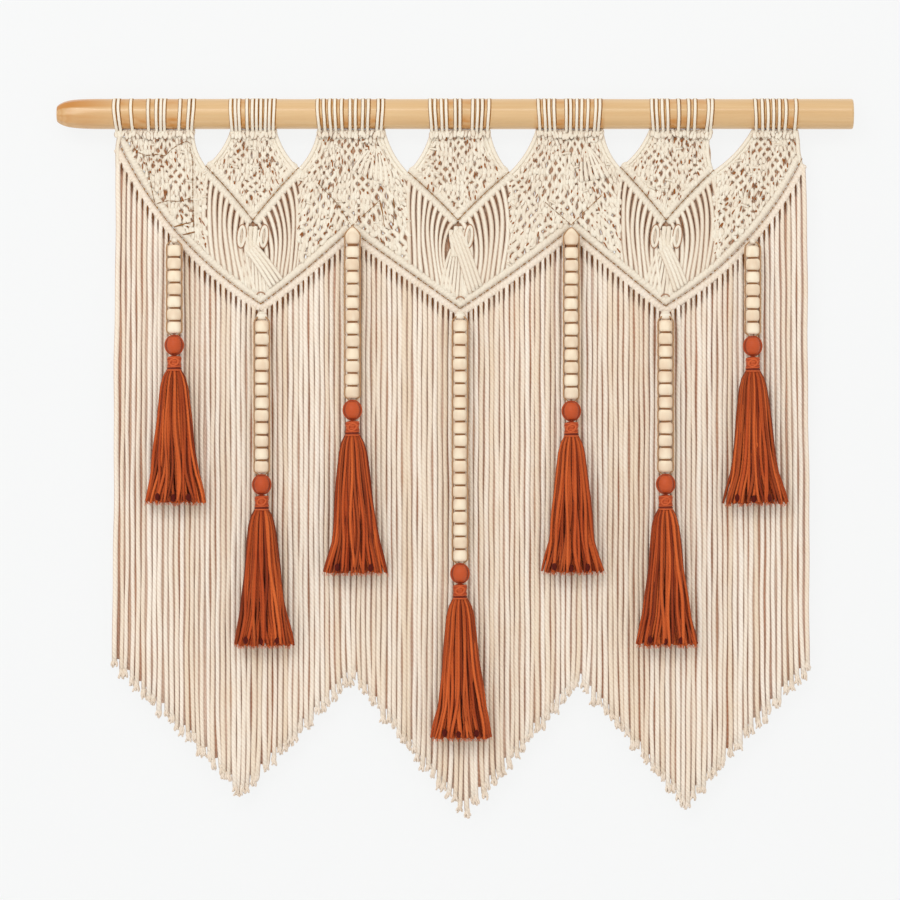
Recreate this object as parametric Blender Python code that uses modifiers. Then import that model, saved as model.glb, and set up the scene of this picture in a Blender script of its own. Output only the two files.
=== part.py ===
"""Macrame wall hanging on a wooden rod.

Cords are wrapped over the rod in seven groups and knotted into one panel, whose lower edge is three large Vs.
Below each V hangs a fringe of straight cords, and over the fringe seven strings of beads with tassels.

X runs along the rod, Z is up and the front faces -Y. The origin is the middle of the rod's axis.
All sizes are in millimetres, and MM turns them into metres where a mesh is made.
"""

from collections import namedtuple
from math import cos, pi, sin

import bmesh
import bpy
from mathutils import Vector
from mathutils.geometry import intersect_point_line

MM = 0.001
CLEARANCE = 0.3
MERGE_WITHIN = 0.01
LONGEST_MITRE = 2
Spot = namedtuple("Spot", "x z")

# Rod
ROD_LENGTH = 660
ROD_RADIUS = 12.5
ROD_STEPS = 20
ROD_NOSE_RADIUS = 6.6
ROD_NOSE_LENGTH = 20
ROD_NOSE_STEPS = 4
ROD_CHAMFER = 1.2

# Cords wrapped over the rod, in groups, and the row of knots that gathers each group just under it
Group = namedtuple("Group", "left right wraps")
GROUPS = (
    Group(-280, -216, 5),
    Group(-186, -148, 4),
    Group(-114, -58, 5),
    Group(-20, 29, 4),
    Group(67, 123, 5),
    Group(161, 213, 4),
    Group(246, 284, 4),
)
WRAP_WIDTH = 5.6
WRAP_HEIGHT = 2.2
WRAP_STEPS = 10
HEADER_Z = -16.8

# Where the edges of two neighbouring groups cross under the rod
NOTCHES = (
    Spot(-206.5, -43),
    Spot(-129.5, -44.5),
    Spot(-39, -48),
    Spot(45, -48),
    Spot(137, -44),
    Spot(214.5, -46.5),
)

# The three large Vs, along the line between their two rows of hitches. An arm runs from one spot to the
# next, and its bow is how far its middle hangs outside the straight line between them.
V_SPOTS = (
    Spot(-279.4, -22),
    Spot(-160.8, -157.5),
    Spot(-86.6, -96.2),
    Spot(4.4, -161.3),
    Spot(96.2, -94.8),
    Spot(174.3, -159.2),
    Spot(287.6, -37),
)
ARM_BOWS = (13.3, 1.5, 0, 1.5, 0, 12.5)
ARM_STEPS = 8
INNER_ROW_WIDTHS = (6.4, 5)
OUTER_ROW_WIDTH = 5.2
OUTER_ROW_DEPTH = 6.4
OUTER_ROW_RIDGES = (0.75, 1)
ROW_GAP = 1

# The small V above each large one. Its cords bow out on their way down to the large V, and between them
# hangs a column of knots, thickest under the small V's point.
SMALL_POINTS = (
    Spot(-167.5, -88),
    Spot(2.5, -88),
    Spot(175, -88),
)
SMALL_ROW_WIDTHS = (6.8, 5.6)
EYE_BOW = 5

# The net that the cords of the panel make: how many cells lie along each of its sides, and how wide its
# strands are where they cross. Their depth is a part of their width.
NET_FLATNESS = 0.5
WIDEST = 14
SAME_PLACE = 0.2
PATCH_WIDTH = 7.2
HEADER_WIDTHS = (5, 4.2)
EDGE_WIDTHS = (5,)
CORD_WIDTH = 4.2
COLUMN_WIDTHS = (7, 13, 8, 6.5, 6.5)
ARM_CELLS = 2
TOP_CELLS = 2
EDGE_CELLS = 4
OUTER_EDGE_CELLS = 2
ARM_INSET = 2
EYE_CORDS = 4
EYE_STEPS = 4

# Fringe: its lower edge, from left to right
FRINGE_NAMES = ("fringe_left", "fringe_middle", "fringe_right")
FRINGE_HEM = (
    Spot(-283.5, -452.6),
    Spot(-176.6, -566),
    Spot(-86.2, -466.5),
    Spot(8.3, -579.5),
    Spot(103.6, -470.9),
    Spot(191.5, -575.3),
    Spot(292.6, -456),
)
FRINGE_PITCH = 4.28
FRINGE_CORD = 3.6
FRINGE_TIP = 0.75
FRINGE_TRIM = 3.4
FRINGE_INSET = 0.35 * FRINGE_CORD
FRINGE_RAGGED = 3.5
FRINGE_WAVES = (2.7, 0.83)

# Bead strings and tassels
Hanger = namedtuple("Hanger", "x top beads tassel")
HANGERS = (
    Hanger(-232.1, -108.4, 7, 139.5),
    Hanger(-159.8, -171, 12, 142.6),
    Hanger(-84.8, -98.8, 13, 144),
    Hanger(4.2, -170.6, 19, 145.6),
    Hanger(96.2, -99.6, 13, 142.8),
    Hanger(174.2, -170.6, 12, 142.6),
    Hanger(246.2, -109.2, 7, 139.5),
)
BEAD_PITCH = 10.55
BEAD_RADIUS = 6.2
BEAD_SHOULDER = 2.1
BEAD_WAIST = 3.6
BEAD_STEPS = 6
KNOB_RADIUS = 5.6
KNOB_HEIGHT = 10.4
HEAD_RADIUS = 8.4
HEAD_HEIGHT = 18.4
HEAD_STEPS = 8
HEAD_RINGS = 6

# A tassel's neck, as parts of its length and its radius, and its skirt of locks
NECK_LENGTH = 11
NECK_RADIUS = 6.8
NECK_STEPS = 8
NECK_RINGS = ((0, 0.72), (0.6, 0.72), (0.8, 1), (1, 0.96))
LOCKS = 14
LOCK_SHARE = 0.84
LOCK_CORE = 0.3
LOCK_UNEVEN = 2.2
LOCK_WAVES = 5
SkirtRing = namedtuple("SkirtRing", "drop width depth")
SKIRT = (
    SkirtRing(-0.02, 9.6, 9.6),
    SkirtRing(0.2, 26, 16),
    SkirtRing(1, 46, 20),
)
FRINGE_FRONT = -0.5 * FRINGE_CORD
STRING_Y = -0.5 * OUTER_ROW_DEPTH - CLEARANCE - BEAD_RADIUS * cos(pi / BEAD_STEPS)
HANGER_Y = FRINGE_FRONT - 2 * CLEARANCE - HEAD_RADIUS

# Cross-section of a strand, as parts of half its width and half its depth
RIDGE = ((-1, 1), (1, 1), (0, -1))


def make_collection(name):
    collection = bpy.data.collections.new(name)
    bpy.context.scene.collection.children.link(collection)
    return collection


def make_material(name, colour, roughness):
    material = bpy.data.materials.new(name)
    material.use_nodes = True
    shader = material.node_tree.nodes["Principled BSDF"]
    shader.inputs["Base Color"].default_value = (*colour, 1)
    shader.inputs["Roughness"].default_value = roughness
    shader.inputs["Metallic"].default_value = 0
    return material


def make_object(name, mesh, collection, material=None):
    thing = bpy.data.objects.new(name, mesh)
    collection.objects.link(thing)
    if material:
        mesh.materials.append(material)
    return thing


def make_guide(name, mesh, collection):
    """An object that is only joined to another."""
    guide = make_object(name, mesh, collection)
    guide.hide_render = True
    guide.display_type = "WIRE"
    return guide


def finish_mesh(bm, name):
    mesh = bpy.data.meshes.new(name)
    bmesh.ops.recalc_face_normals(bm, faces=bm.faces)
    bm.to_mesh(mesh)
    bm.free()
    return mesh


def add_union(thing, guide, crossing=True):
    """Join a guide to an object. crossing says that strands of one of them cross each other."""
    union = thing.modifiers.new("Join", "BOOLEAN")
    union.operation = "UNION"
    union.solver = "EXACT"
    union.use_self = crossing
    union.object = guide


def add_loft(bm, rings, closed=False):
    """Skin a row of rings of points, each with the same number of points. A row that doesn't close on
    itself is capped at both ends."""
    rows = [[bm.verts.new(Vector(point) * MM) for point in ring] for ring in rings]
    following = rows[1:] + rows[:1] if closed else rows[1:]
    for near, far in zip(rows, following):
        for i in range(len(near)):
            j = (i + 1) % len(near)
            bm.faces.new((near[i], near[j], far[j], far[i]))
    if not closed:
        bm.faces.new(rows[0][::-1])
        bm.faces.new(rows[-1])


def side_of(start, end):
    """The direction square to the way from start to end, in the plane of the panel."""
    return (end - start).cross(Vector((0, 1, 0))).normalized()


def mitres(path):
    """At each point of a path, the sideways vector that keeps a strand's edges parallel round the bends."""
    sides = [side_of(a, b) for a, b in zip(path, path[1:])]
    found = [sides[0]]
    for before, after in zip(sides, sides[1:]):
        middle = (before + after).normalized()
        found.append(middle / max(middle.dot(after), 1 / LONGEST_MITRE))
    found.append(sides[-1])
    return found


def offset_path(path, distance):
    return [point + side * distance for point, side in zip(path, mitres(path))]


def add_strand(bm, path, width, depth, widths=None, ridges=None):
    """A ridged strand along a path. widths and ridges scale its width and its ridge at each point."""
    widths = widths or [1] * len(path)
    ridges = ridges or [1] * len(path)
    rings = []
    for point, side, wide, high in zip(path, mitres(path), widths, ridges):
        rings.append([
            point + side * (u * wide * width / 2) + Vector((0, v * (high if v < 0 else 1) * depth / 2, 0))
            for u, v in RIDGE
        ])
    add_loft(bm, rings)


def spot_at(spot, y=0):
    return Vector((spot.x, y, spot.z))


def bowed_arm(start, end, bow):
    """Points along an arm whose middle hangs bow below the straight line, after its start."""
    down = side_of(start, end) * -bow
    shares = [(i + 1) / ARM_STEPS for i in range(ARM_STEPS)]
    return [start.lerp(end, share) + down * 4 * share * (1 - share) for share in shares]


def v_line():
    """The line between the two rows of hitches, over all three large Vs from left to right."""
    line = [spot_at(V_SPOTS[0])]
    for start, end, bow in zip(V_SPOTS, V_SPOTS[1:], ARM_BOWS):
        line += bowed_arm(spot_at(start), spot_at(end), bow)
    return line


def height_on(path, x):
    """The height of a path where it passes over x."""
    for a, b in zip(path, path[1:]):
        if a.x <= x <= b.x:
            return a.z + (b.z - a.z) * (x - a.x) / (b.x - a.x)
    return path[0].z if x < path[0].x else path[-1].z


def between(path, left, right):
    """The part of a path between two places along X."""
    inside = [point for point in path if left + SAME_PLACE < point.x < right - SAME_PLACE]
    ends = [Vector((x, path[0].y, height_on(path, x))) for x in (left, right)]
    return [ends[0]] + inside + [ends[1]]


def divide(path, cells):
    """A path's points at equal distances along it."""
    lengths = [(b - a).length for a, b in zip(path, path[1:])]
    points = [path[0]]
    for i in range(1, cells):
        left_over = sum(lengths) * i / cells
        for a, b, length in zip(path, path[1:], lengths):
            if left_over <= length:
                points.append(a.lerp(b, left_over / length))
                break
            left_over -= length
    return points + [path[-1]]


def stepped(corners, cells):
    """A path through its corners, with a number of cells for each straight run."""
    points = [corners[0]]
    for a, b, count in zip(corners, corners[1:], cells):
        points += [a.lerp(b, (i + 1) / count) for i in range(count)]
    return points


class Net:
    """Flat cells that share their corners, with the width of the strands at each corner."""

    def __init__(self):
        self.corners = []
        self.widths = []
        self.cells = []

    def corner(self, point, width):
        for i, old in enumerate(self.corners):
            if (old - point).length < SAME_PLACE:
                return i
        self.corners.append(point.copy())
        self.widths.append(width)
        return len(self.corners) - 1

    def add_cell(self, points, width):
        """Every cell is wound the same way round, so that all of them face the front."""
        turn = sum(a.x * b.z - b.x * a.z for a, b in zip(points, points[1:] + points[:1]))
        corners = [self.corner(point, width) for point in points]
        self.cells.append(corners if turn > 0 else corners[::-1])

    def add_grid(self, top, right, bottom, left, width):
        """Cells between four sides. Top and bottom run the same way, and so do left and right. A point
        inside is the mean of both pairs of sides, less that of the four corners. The bottom may have
        several points for each of the top's, and the lowest cells take them all."""
        across = len(top) - 1
        down = len(left) - 1
        finer = (len(bottom) - 1) // across
        rows = []
        for j in range(down):
            v = j / down
            row = []
            for i in range(across + 1):
                u = i / across
                sides = top[i].lerp(bottom[i * finer], v) + left[j].lerp(right[j], u)
                row.append(sides - top[0].lerp(top[-1], u).lerp(bottom[0].lerp(bottom[-1], u), v))
            rows.append(row)
        for upper, lower in zip(rows, rows[1:]):
            for i in range(across):
                self.add_cell([upper[i], upper[i + 1], lower[i + 1], lower[i]], width)
        for i in range(across):
            lowest = bottom[i * finer:(i + 1) * finer + 1]
            self.add_cell([rows[-1][i], rows[-1][i + 1]] + lowest[::-1], width)

    def lay_row(self, path, widths):
        """Set the widths of the corners that lie on a path, in turn."""
        found = []
        for i, corner in enumerate(self.corners):
            for step, (a, b) in enumerate(zip(path, path[1:])):
                foot, share = intersect_point_line(corner, a, b)
                if (foot - corner).length < SAME_PLACE and 0 <= round(share, 3) <= 1:
                    found.append((step + share, i))
                    break
        for turn, (_, i) in enumerate(sorted(found)):
            self.widths[i] = widths[turn % len(widths)]

    def make_mesh(self, name):
        mesh = bpy.data.meshes.new(name)
        mesh.from_pydata([corner * MM for corner in self.corners], [], self.cells)
        return mesh


def add_wrap(bm, x):
    """A pair of cords laid right round the rod, ridged outside and flat towards the wood."""
    inner = (ROD_RADIUS + CLEARANCE) / cos(pi / WRAP_STEPS)
    outer = inner + WRAP_HEIGHT
    rings = []
    for i in range(WRAP_STEPS):
        turn = 2 * pi * (i + 0.5) / WRAP_STEPS
        rings.append([
            (x + across, radius * cos(turn), radius * sin(turn))
            for across, radius in ((-WRAP_WIDTH / 2, inner), (0, outer), (WRAP_WIDTH / 2, inner))
        ])
    add_loft(bm, rings, closed=True)


def wrap_mesh(name):
    bm = bmesh.new()
    for group in GROUPS:
        first = group.left + WRAP_WIDTH / 2
        spread = group.right - group.left - WRAP_WIDTH
        for i in range(group.wraps):
            add_wrap(bm, first + spread * i / (group.wraps - 1))
    return finish_mesh(bm, name)


def add_diamond(net, top, notch_before, point, notch_after):
    """The knotted patch over a small V, its rows bent like the V."""
    left, _, right = top
    net.add_grid(
        top=stepped([left, right], [2 * ARM_CELLS]),
        right=stepped([right, notch_after], [EDGE_CELLS]),
        bottom=stepped([notch_before, point, notch_after], [EYE_CORDS, EYE_CORDS]),
        left=stepped([left, notch_before], [EDGE_CELLS]),
        width=PATCH_WIDTH)
    net.lay_row([notch_before, left], EDGE_WIDTHS)
    net.lay_row([right, notch_after], EDGE_WIDTHS)


def add_wings(net, inner, top, notch_before, junction, notch_after):
    """The knotted patch between two large Vs, as two halves that meet on its middle line."""
    left, middle, right = top
    spine = stepped([middle, junction], [EYE_STEPS])
    feet = [Vector((notch.x, 0, height_on(inner, notch.x))) for notch in (notch_before, notch_after)]
    net.add_grid(
        top=stepped([notch_before, left, middle], [TOP_CELLS, TOP_CELLS]),
        right=spine,
        bottom=divide(between(inner, feet[0].x, junction.x), 2 * TOP_CELLS),
        left=stepped([notch_before, feet[0]], [EYE_STEPS]),
        width=PATCH_WIDTH)
    net.add_grid(
        top=stepped([middle, right, notch_after], [TOP_CELLS, TOP_CELLS]),
        right=stepped([notch_after, feet[1]], [EYE_STEPS]),
        bottom=divide(between(inner, junction.x, feet[1].x), 2 * TOP_CELLS),
        left=spine,
        width=PATCH_WIDTH)
    for path in ([notch_before, left], [right, notch_after], [notch_before, feet[0]], [notch_after, feet[1]]):
        net.lay_row(path, EDGE_WIDTHS)


def add_end_patch(net, inner, top, notch):
    """The knotted patch at one end, three-sided: the rod, the first notch and eye, and the outer arm. Each
    row of knots starts where a column meets the arm."""
    left, _, right = top
    foot = Vector((notch.x, 0, height_on(inner, notch.x)))
    near, far = (right, left) if notch.x < 0 else (left, right)
    run = between(inner, *sorted((far.x + ARM_INSET, foot.x)))
    count = OUTER_EDGE_CELLS + EYE_STEPS
    arm = divide([far] + (run if notch.x < 0 else run[::-1]), count)
    header = stepped([far, near], [count])
    side = stepped([near, notch, foot], [OUTER_EDGE_CELLS, EYE_STEPS])

    def knot(row, column):
        straight = header[column].lerp(arm[column], row / max(column, 1))
        bend = side[row] - near.lerp(foot, row / count)
        return straight + bend * ((column - row) / max(count - row, 1))

    for row in range(count):
        for column in range(row + 1, count + 1):
            upper = [knot(row, column - 1), knot(row, column)]
            lower = [knot(row + 1, column)]
            if column > row + 1:
                lower.append(knot(row + 1, column - 1))
            net.add_cell(upper + lower, PATCH_WIDTH)
    net.lay_row([near, notch], EDGE_WIDTHS)
    net.lay_row([notch, foot], EDGE_WIDTHS)


def add_eye(net, inner, low, notch, point):
    """Half of the part between a small V and its large one: cords that bow away from the middle column."""
    foot = Vector((notch.x, 0, height_on(inner, notch.x)))
    outward = -1 if notch.x < point.x else 1
    starts = stepped([notch, point], [EYE_CORDS])
    run = between(inner, *sorted((foot.x, low.x)))
    ends = divide(run if foot.x < low.x else run[::-1], EYE_CORDS)
    outer = stepped([notch, foot], [EYE_STEPS])
    column = stepped([point, low], [EYE_STEPS])
    cords = []
    for i in range(EYE_CORDS + 1):
        u = i / EYE_CORDS
        cord = []
        for j in range(EYE_STEPS + 1):
            v = j / EYE_STEPS
            sides = starts[i].lerp(ends[i], v) + outer[j].lerp(column[j], u)
            knot = sides - starts[0].lerp(starts[-1], u).lerp(ends[0].lerp(ends[-1], u), v)
            knot.x += outward * EYE_BOW * 4 * u * (1 - u) * sin(pi * v)
            cord.append(knot)
        cords.append(cord)
    for near, far in zip(cords, cords[1:]):
        net.add_cell(near + far[::-1], CORD_WIDTH)


def make_panel(collection, guides, material):
    line = v_line()
    inner = offset_path(line, (max(INNER_ROW_WIDTHS) + ROW_GAP) / 2)
    lows = [inner[(2 * k + 1) * ARM_STEPS] for k in range(3)]
    junctions = [inner[(2 * k + 2) * ARM_STEPS] for k in range(2)]
    notches = [spot_at(notch) for notch in NOTCHES]
    points = [spot_at(point) for point in SMALL_POINTS]
    tops = []
    for group in GROUPS:
        middle = (group.left + group.right) / 2
        tops.append([Vector((x, 0, HEADER_Z)) for x in (group.left, middle, group.right)])
    net = Net()
    for k, point in enumerate(points):
        before, after = notches[2 * k:2 * k + 2]
        add_diamond(net, tops[2 * k + 1], before, point, after)
        for notch in (before, after):
            add_eye(net, inner, lows[k], notch, point)
    for k, junction in enumerate(junctions):
        add_wings(net, inner, tops[2 * k + 2], notches[2 * k + 1], junction, notches[2 * k + 2])
    add_end_patch(net, inner, tops[0], notches[0])
    add_end_patch(net, inner, tops[-1], notches[-1])
    for k, point in enumerate(points):
        net.lay_row([point, lows[k]], COLUMN_WIDTHS)
        net.lay_row([notches[2 * k], point, notches[2 * k + 1]], SMALL_ROW_WIDTHS)
    for top in tops:
        net.lay_row([top[0], top[-1]], HEADER_WIDTHS)
    net.lay_row([tops[0][0]] + inner + [tops[-1][-1]], INNER_ROW_WIDTHS)

    panel = make_object("knotted_panel", net.make_mesh("knotted_panel"), collection, material)
    panel.scale.y = NET_FLATNESS
    group = panel.vertex_groups.new(name="strand width")
    for i, width in enumerate(net.widths):
        group.add([i], width / WIDEST, "REPLACE")
    strands = panel.modifiers.new("Strands", "WIREFRAME")
    strands.thickness = WIDEST * MM
    strands.use_even_offset = True
    strands.use_boundary = True
    strands.use_replace = True
    strands.vertex_group = group.name
    add_union(panel, make_guide("wraps", wrap_mesh("wraps"), guides), crossing=False)


def hem_height(x):
    """How low the fringe reaches at x, a little uneven from cord to cord."""
    hem = [spot_at(spot) for spot in FRINGE_HEM]
    return height_on(hem, x) + FRINGE_RAGGED * sin(x * FRINGE_WAVES[0]) * sin(x * FRINGE_WAVES[1])


def make_fringe(k, collection, guides, material):
    """Straight cords under one large V, their tops held in its outer row of hitches."""
    name = FRINGE_NAMES[k]
    full = offset_path(v_line(), -(OUTER_ROW_WIDTH + ROW_GAP) / 2)
    left = full[0].x if k == 0 else V_SPOTS[2 * k].x + FRINGE_TRIM
    right = full[-1].x if k == 2 else V_SPOTS[2 * k + 2].x - FRINGE_TRIM
    row = between(full, left, right)
    backing = bmesh.new()
    ridges = [OUTER_ROW_RIDGES[i % 2] for i in range(len(row))]
    add_strand(backing, row, OUTER_ROW_WIDTH, OUTER_ROW_DEPTH, ridges=ridges)

    cords = bmesh.new()
    first = left + FRINGE_INSET
    spread = right - left - 2 * FRINGE_INSET
    count = round(spread / FRINGE_PITCH) + 1
    for i in range(count):
        x = first + spread * i / (count - 1)
        path = [Vector((x, 0, height_on(row, x))), Vector((x, 0, hem_height(x)))]
        add_strand(cords, path, FRINGE_CORD, FRINGE_CORD, widths=(1, FRINGE_TIP))
    fringe = make_object(name, finish_mesh(cords, name), collection, material)
    add_union(fringe, make_guide(name + "_row", finish_mesh(backing, name + "_row"), guides))


def make_turned(name, profile, steps, collection, material=None):
    """A shape turned about its own Z axis. The profile is (radius, height) pairs from the top down."""
    mesh = bpy.data.meshes.new(name)
    points = [(radius * MM, 0, height * MM) for radius, height in profile]
    mesh.from_pydata(points, [(i, i + 1) for i in range(len(points) - 1)], [])
    thing = make_object(name, mesh, collection, material)
    turn = thing.modifiers.new("Turn", "SCREW")
    turn.angle = 2 * pi
    turn.steps = steps
    turn.render_steps = steps
    turn.use_merge_vertices = True
    turn.merge_threshold = MERGE_WITHIN * MM
    turn.use_smooth_shade = True
    return thing


def rod_profile():
    """From the sawn end, with its worn edge, to the rounded nose."""
    half = ROD_LENGTH / 2
    profile = [(0, half), (ROD_RADIUS - ROD_CHAMFER, half), (ROD_RADIUS, half - ROD_CHAMFER)]
    for i in range(ROD_NOSE_STEPS + 1):
        turn = pi / 2 * i / ROD_NOSE_STEPS
        radius = ROD_NOSE_RADIUS + (ROD_RADIUS - ROD_NOSE_RADIUS) * cos(turn)
        profile.append((radius, -half + ROD_NOSE_LENGTH * (1 - sin(turn))))
    return profile + [(0, -half)]


def make_rod(collection, material):
    rod = make_turned("rod", rod_profile(), ROD_STEPS, collection, material)
    rod.rotation_euler = (0, pi / 2, 0)


def bead_profile(beads):
    """The knob of cord that the string hangs by, then beads strung close together, each a short barrel
    with rounded shoulders."""
    profile = [(0, KNOB_HEIGHT), (BEAD_WAIST, KNOB_HEIGHT), (KNOB_RADIUS, KNOB_HEIGHT / 2), (BEAD_WAIST, 0)]
    for i in range(beads):
        top = -i * BEAD_PITCH
        profile.append((BEAD_RADIUS, top - BEAD_SHOULDER))
        profile.append((BEAD_RADIUS, top - BEAD_PITCH + BEAD_SHOULDER))
        profile.append((BEAD_WAIST, top - BEAD_PITCH))
    return profile + [(0, -beads * BEAD_PITCH)]


def make_head(name, x, z, collection, material):
    """The round head between the beads and the tassel, a little taller than wide."""
    bpy.ops.mesh.primitive_uv_sphere_add(segments=HEAD_STEPS, ring_count=HEAD_RINGS, radius=HEAD_RADIUS * MM)
    head = bpy.context.object
    head.name = name
    head.data.name = name
    head.scale = (1, 1, HEAD_HEIGHT / (2 * HEAD_RADIUS))
    head.location = Vector((x, HANGER_Y, z - HEAD_HEIGHT / 2)) * MM
    head.data.materials.append(material)
    head.data.shade_smooth()
    for other in head.users_collection:
        other.objects.unlink(head)
    collection.objects.link(head)


def neck_mesh(name):
    """The bound neck, with the thicker band that holds the locks."""
    bm = bmesh.new()
    rings = []
    for drop, part in NECK_RINGS:
        turns = [2 * pi * i / NECK_STEPS for i in range(NECK_STEPS)]
        radius = part * NECK_RADIUS
        rings.append([(radius * cos(turn), radius * sin(turn), -drop * NECK_LENGTH) for turn in turns])
    add_loft(bm, rings)
    return finish_mesh(bm, name)


def lock_ring(ring, middle_y, z, turn):
    """The cross-section of one lock: flat outside and pointed inside, as a slice of the oval skirt."""
    middle = Vector((0, middle_y, z))
    outside = Vector((ring.width / 2 * cos(turn), ring.depth / 2 * sin(turn), 0))
    along = Vector((-ring.width / 2 * sin(turn), ring.depth / 2 * cos(turn), 0)) * (pi / LOCKS * LOCK_SHARE)
    return [middle + outside - along, middle + outside + along, middle + outside * LOCK_CORE]


def make_tassel(name, hanger, z, collection, guides, material):
    """A bound neck with a ring of locks that spread into a flattened bell against the fringe."""
    locks = bmesh.new()
    length = hanger.tassel - HEAD_HEIGHT - NECK_LENGTH
    back = FRINGE_FRONT - 2 * CLEARANCE - HANGER_Y
    for i in range(LOCKS):
        turn = 2 * pi * (i + 0.5) / LOCKS
        uneven = LOCK_UNEVEN * sin(LOCK_WAVES * turn + hanger.x)
        rings = []
        for ring in SKIRT:
            height = -NECK_LENGTH - ring.drop * length + uneven * max(ring.drop, 0)
            rings.append(lock_ring(ring, min(0, back - ring.depth / 2), height, turn))
        add_loft(locks, rings)
    place = Vector((hanger.x, HANGER_Y, z)) * MM
    tassel = make_object(name, finish_mesh(locks, name), collection, material)
    tassel.location = place
    neck = make_guide(name + "_neck", neck_mesh(name + "_neck"), guides)
    neck.location = place
    add_union(tassel, neck)


def make_hangers(collection, guides, bead_material, tassel_material):
    """Each string of beads with its head and tassel, one under the other with a hair's gap between them."""
    for number, hanger in enumerate(HANGERS, 1):
        beads = make_turned(
            f"bead_string_{number}", bead_profile(hanger.beads), BEAD_STEPS, collection, bead_material)
        beads.location = Vector((hanger.x, STRING_Y, hanger.top)) * MM
        head_top = hanger.top - hanger.beads * BEAD_PITCH - CLEARANCE
        make_head(f"tassel_head_{number}", hanger.x, head_top, collection, tassel_material)
        neck_top = head_top - HEAD_HEIGHT - CLEARANCE
        make_tassel(f"tassel_{number}", hanger, neck_top, collection, guides, tassel_material)


def main():
    for thing in list(bpy.data.objects):
        bpy.data.objects.remove(thing)
    collection = make_collection("macrame_wall_hanging")
    guides = make_collection("guides")
    wood = make_material("rod wood", (0.73, 0.47, 0.25), 0.42)
    cotton = make_material("natural cotton cord", (0.78, 0.68, 0.54), 0.92)
    bead_wood = make_material("bead wood", (0.84, 0.66, 0.43), 0.5)
    yarn = make_material("terracotta yarn", (0.34, 0.06, 0.02), 0.9)
    make_rod(collection, wood)
    make_panel(collection, guides, cotton)
    for k in range(3):
        make_fringe(k, collection, guides, cotton)
    make_hangers(collection, guides, bead_wood, yarn)


main()
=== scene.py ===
import bpy
import numpy as np
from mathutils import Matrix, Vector


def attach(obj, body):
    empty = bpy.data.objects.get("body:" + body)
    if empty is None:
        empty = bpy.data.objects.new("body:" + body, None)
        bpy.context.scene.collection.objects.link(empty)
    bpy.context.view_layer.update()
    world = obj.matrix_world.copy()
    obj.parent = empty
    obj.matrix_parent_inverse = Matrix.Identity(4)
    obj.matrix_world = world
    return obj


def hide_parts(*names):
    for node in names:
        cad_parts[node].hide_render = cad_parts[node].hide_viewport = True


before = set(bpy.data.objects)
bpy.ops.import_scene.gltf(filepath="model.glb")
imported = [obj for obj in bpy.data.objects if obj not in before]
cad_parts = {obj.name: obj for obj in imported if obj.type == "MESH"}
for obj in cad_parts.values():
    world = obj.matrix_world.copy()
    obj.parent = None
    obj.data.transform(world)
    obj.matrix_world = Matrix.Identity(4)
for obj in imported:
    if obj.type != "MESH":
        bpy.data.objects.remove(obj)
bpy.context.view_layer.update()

mm = 0.001                               # everything below is worked out in millimetres
chance = np.random.default_rng(20)       # the one seeded source of every unevenness
toRight = np.array((1.0, 0.0, 0.0))
backwards = np.array((0.0, 1.0, 0.0))    # towards the wall
upwards = np.array((0.0, 0.0, 1.0))

# left and right edge of each group of cords over the rod, and of the header below it
groups = ((-280, -216), (-186, -148), (-114, -58), (-20, 29), (67, 123), (161, 213), (246, 284))


# Vectors divided by their own lengths.
def unit(vectors):
    return vectors / np.maximum(np.linalg.norm(vectors, axis=-1, keepdims=True), 1e-9)


# Points from their x, y and z, each a number or an array, spread to one shape.
def xyz(x, y, z):
    return np.stack(np.broadcast_arrays(x, y, z), -1).astype(float)


# A value held between 0 and 1.
def clamp(value):
    return np.clip(value, 0, 1)


# The angles of a ring's sides: side k stands at 2 pi k / sides.
def circle(sides):
    return 2 * np.pi * np.arange(sides) / sides


# Places from -reach to reach along a round body, closer together towards its ends: the sine of even angles.
def roundPlaces(steps, reach=0.999):
    return np.sin(np.linspace(-np.pi / 2, np.pi / 2, steps)) * reach


# Painted shade in the crevices: a tube is painted brown where it touches its neighbours, by amount times how
# far |cos(turn)| is past the start, and its front is left unpainted.
def creviceShade(sides, amount, start):
    return amount * clamp((np.abs(np.cos(circle(sides))) - start) / (1 - start))


# An empty store of tubes, which makePiece turns into a mesh.
def newStore():
    return {label: [] for label in ("points", "quads", "fans", "quadMap", "fanMap", "shade", "tint")}
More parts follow.
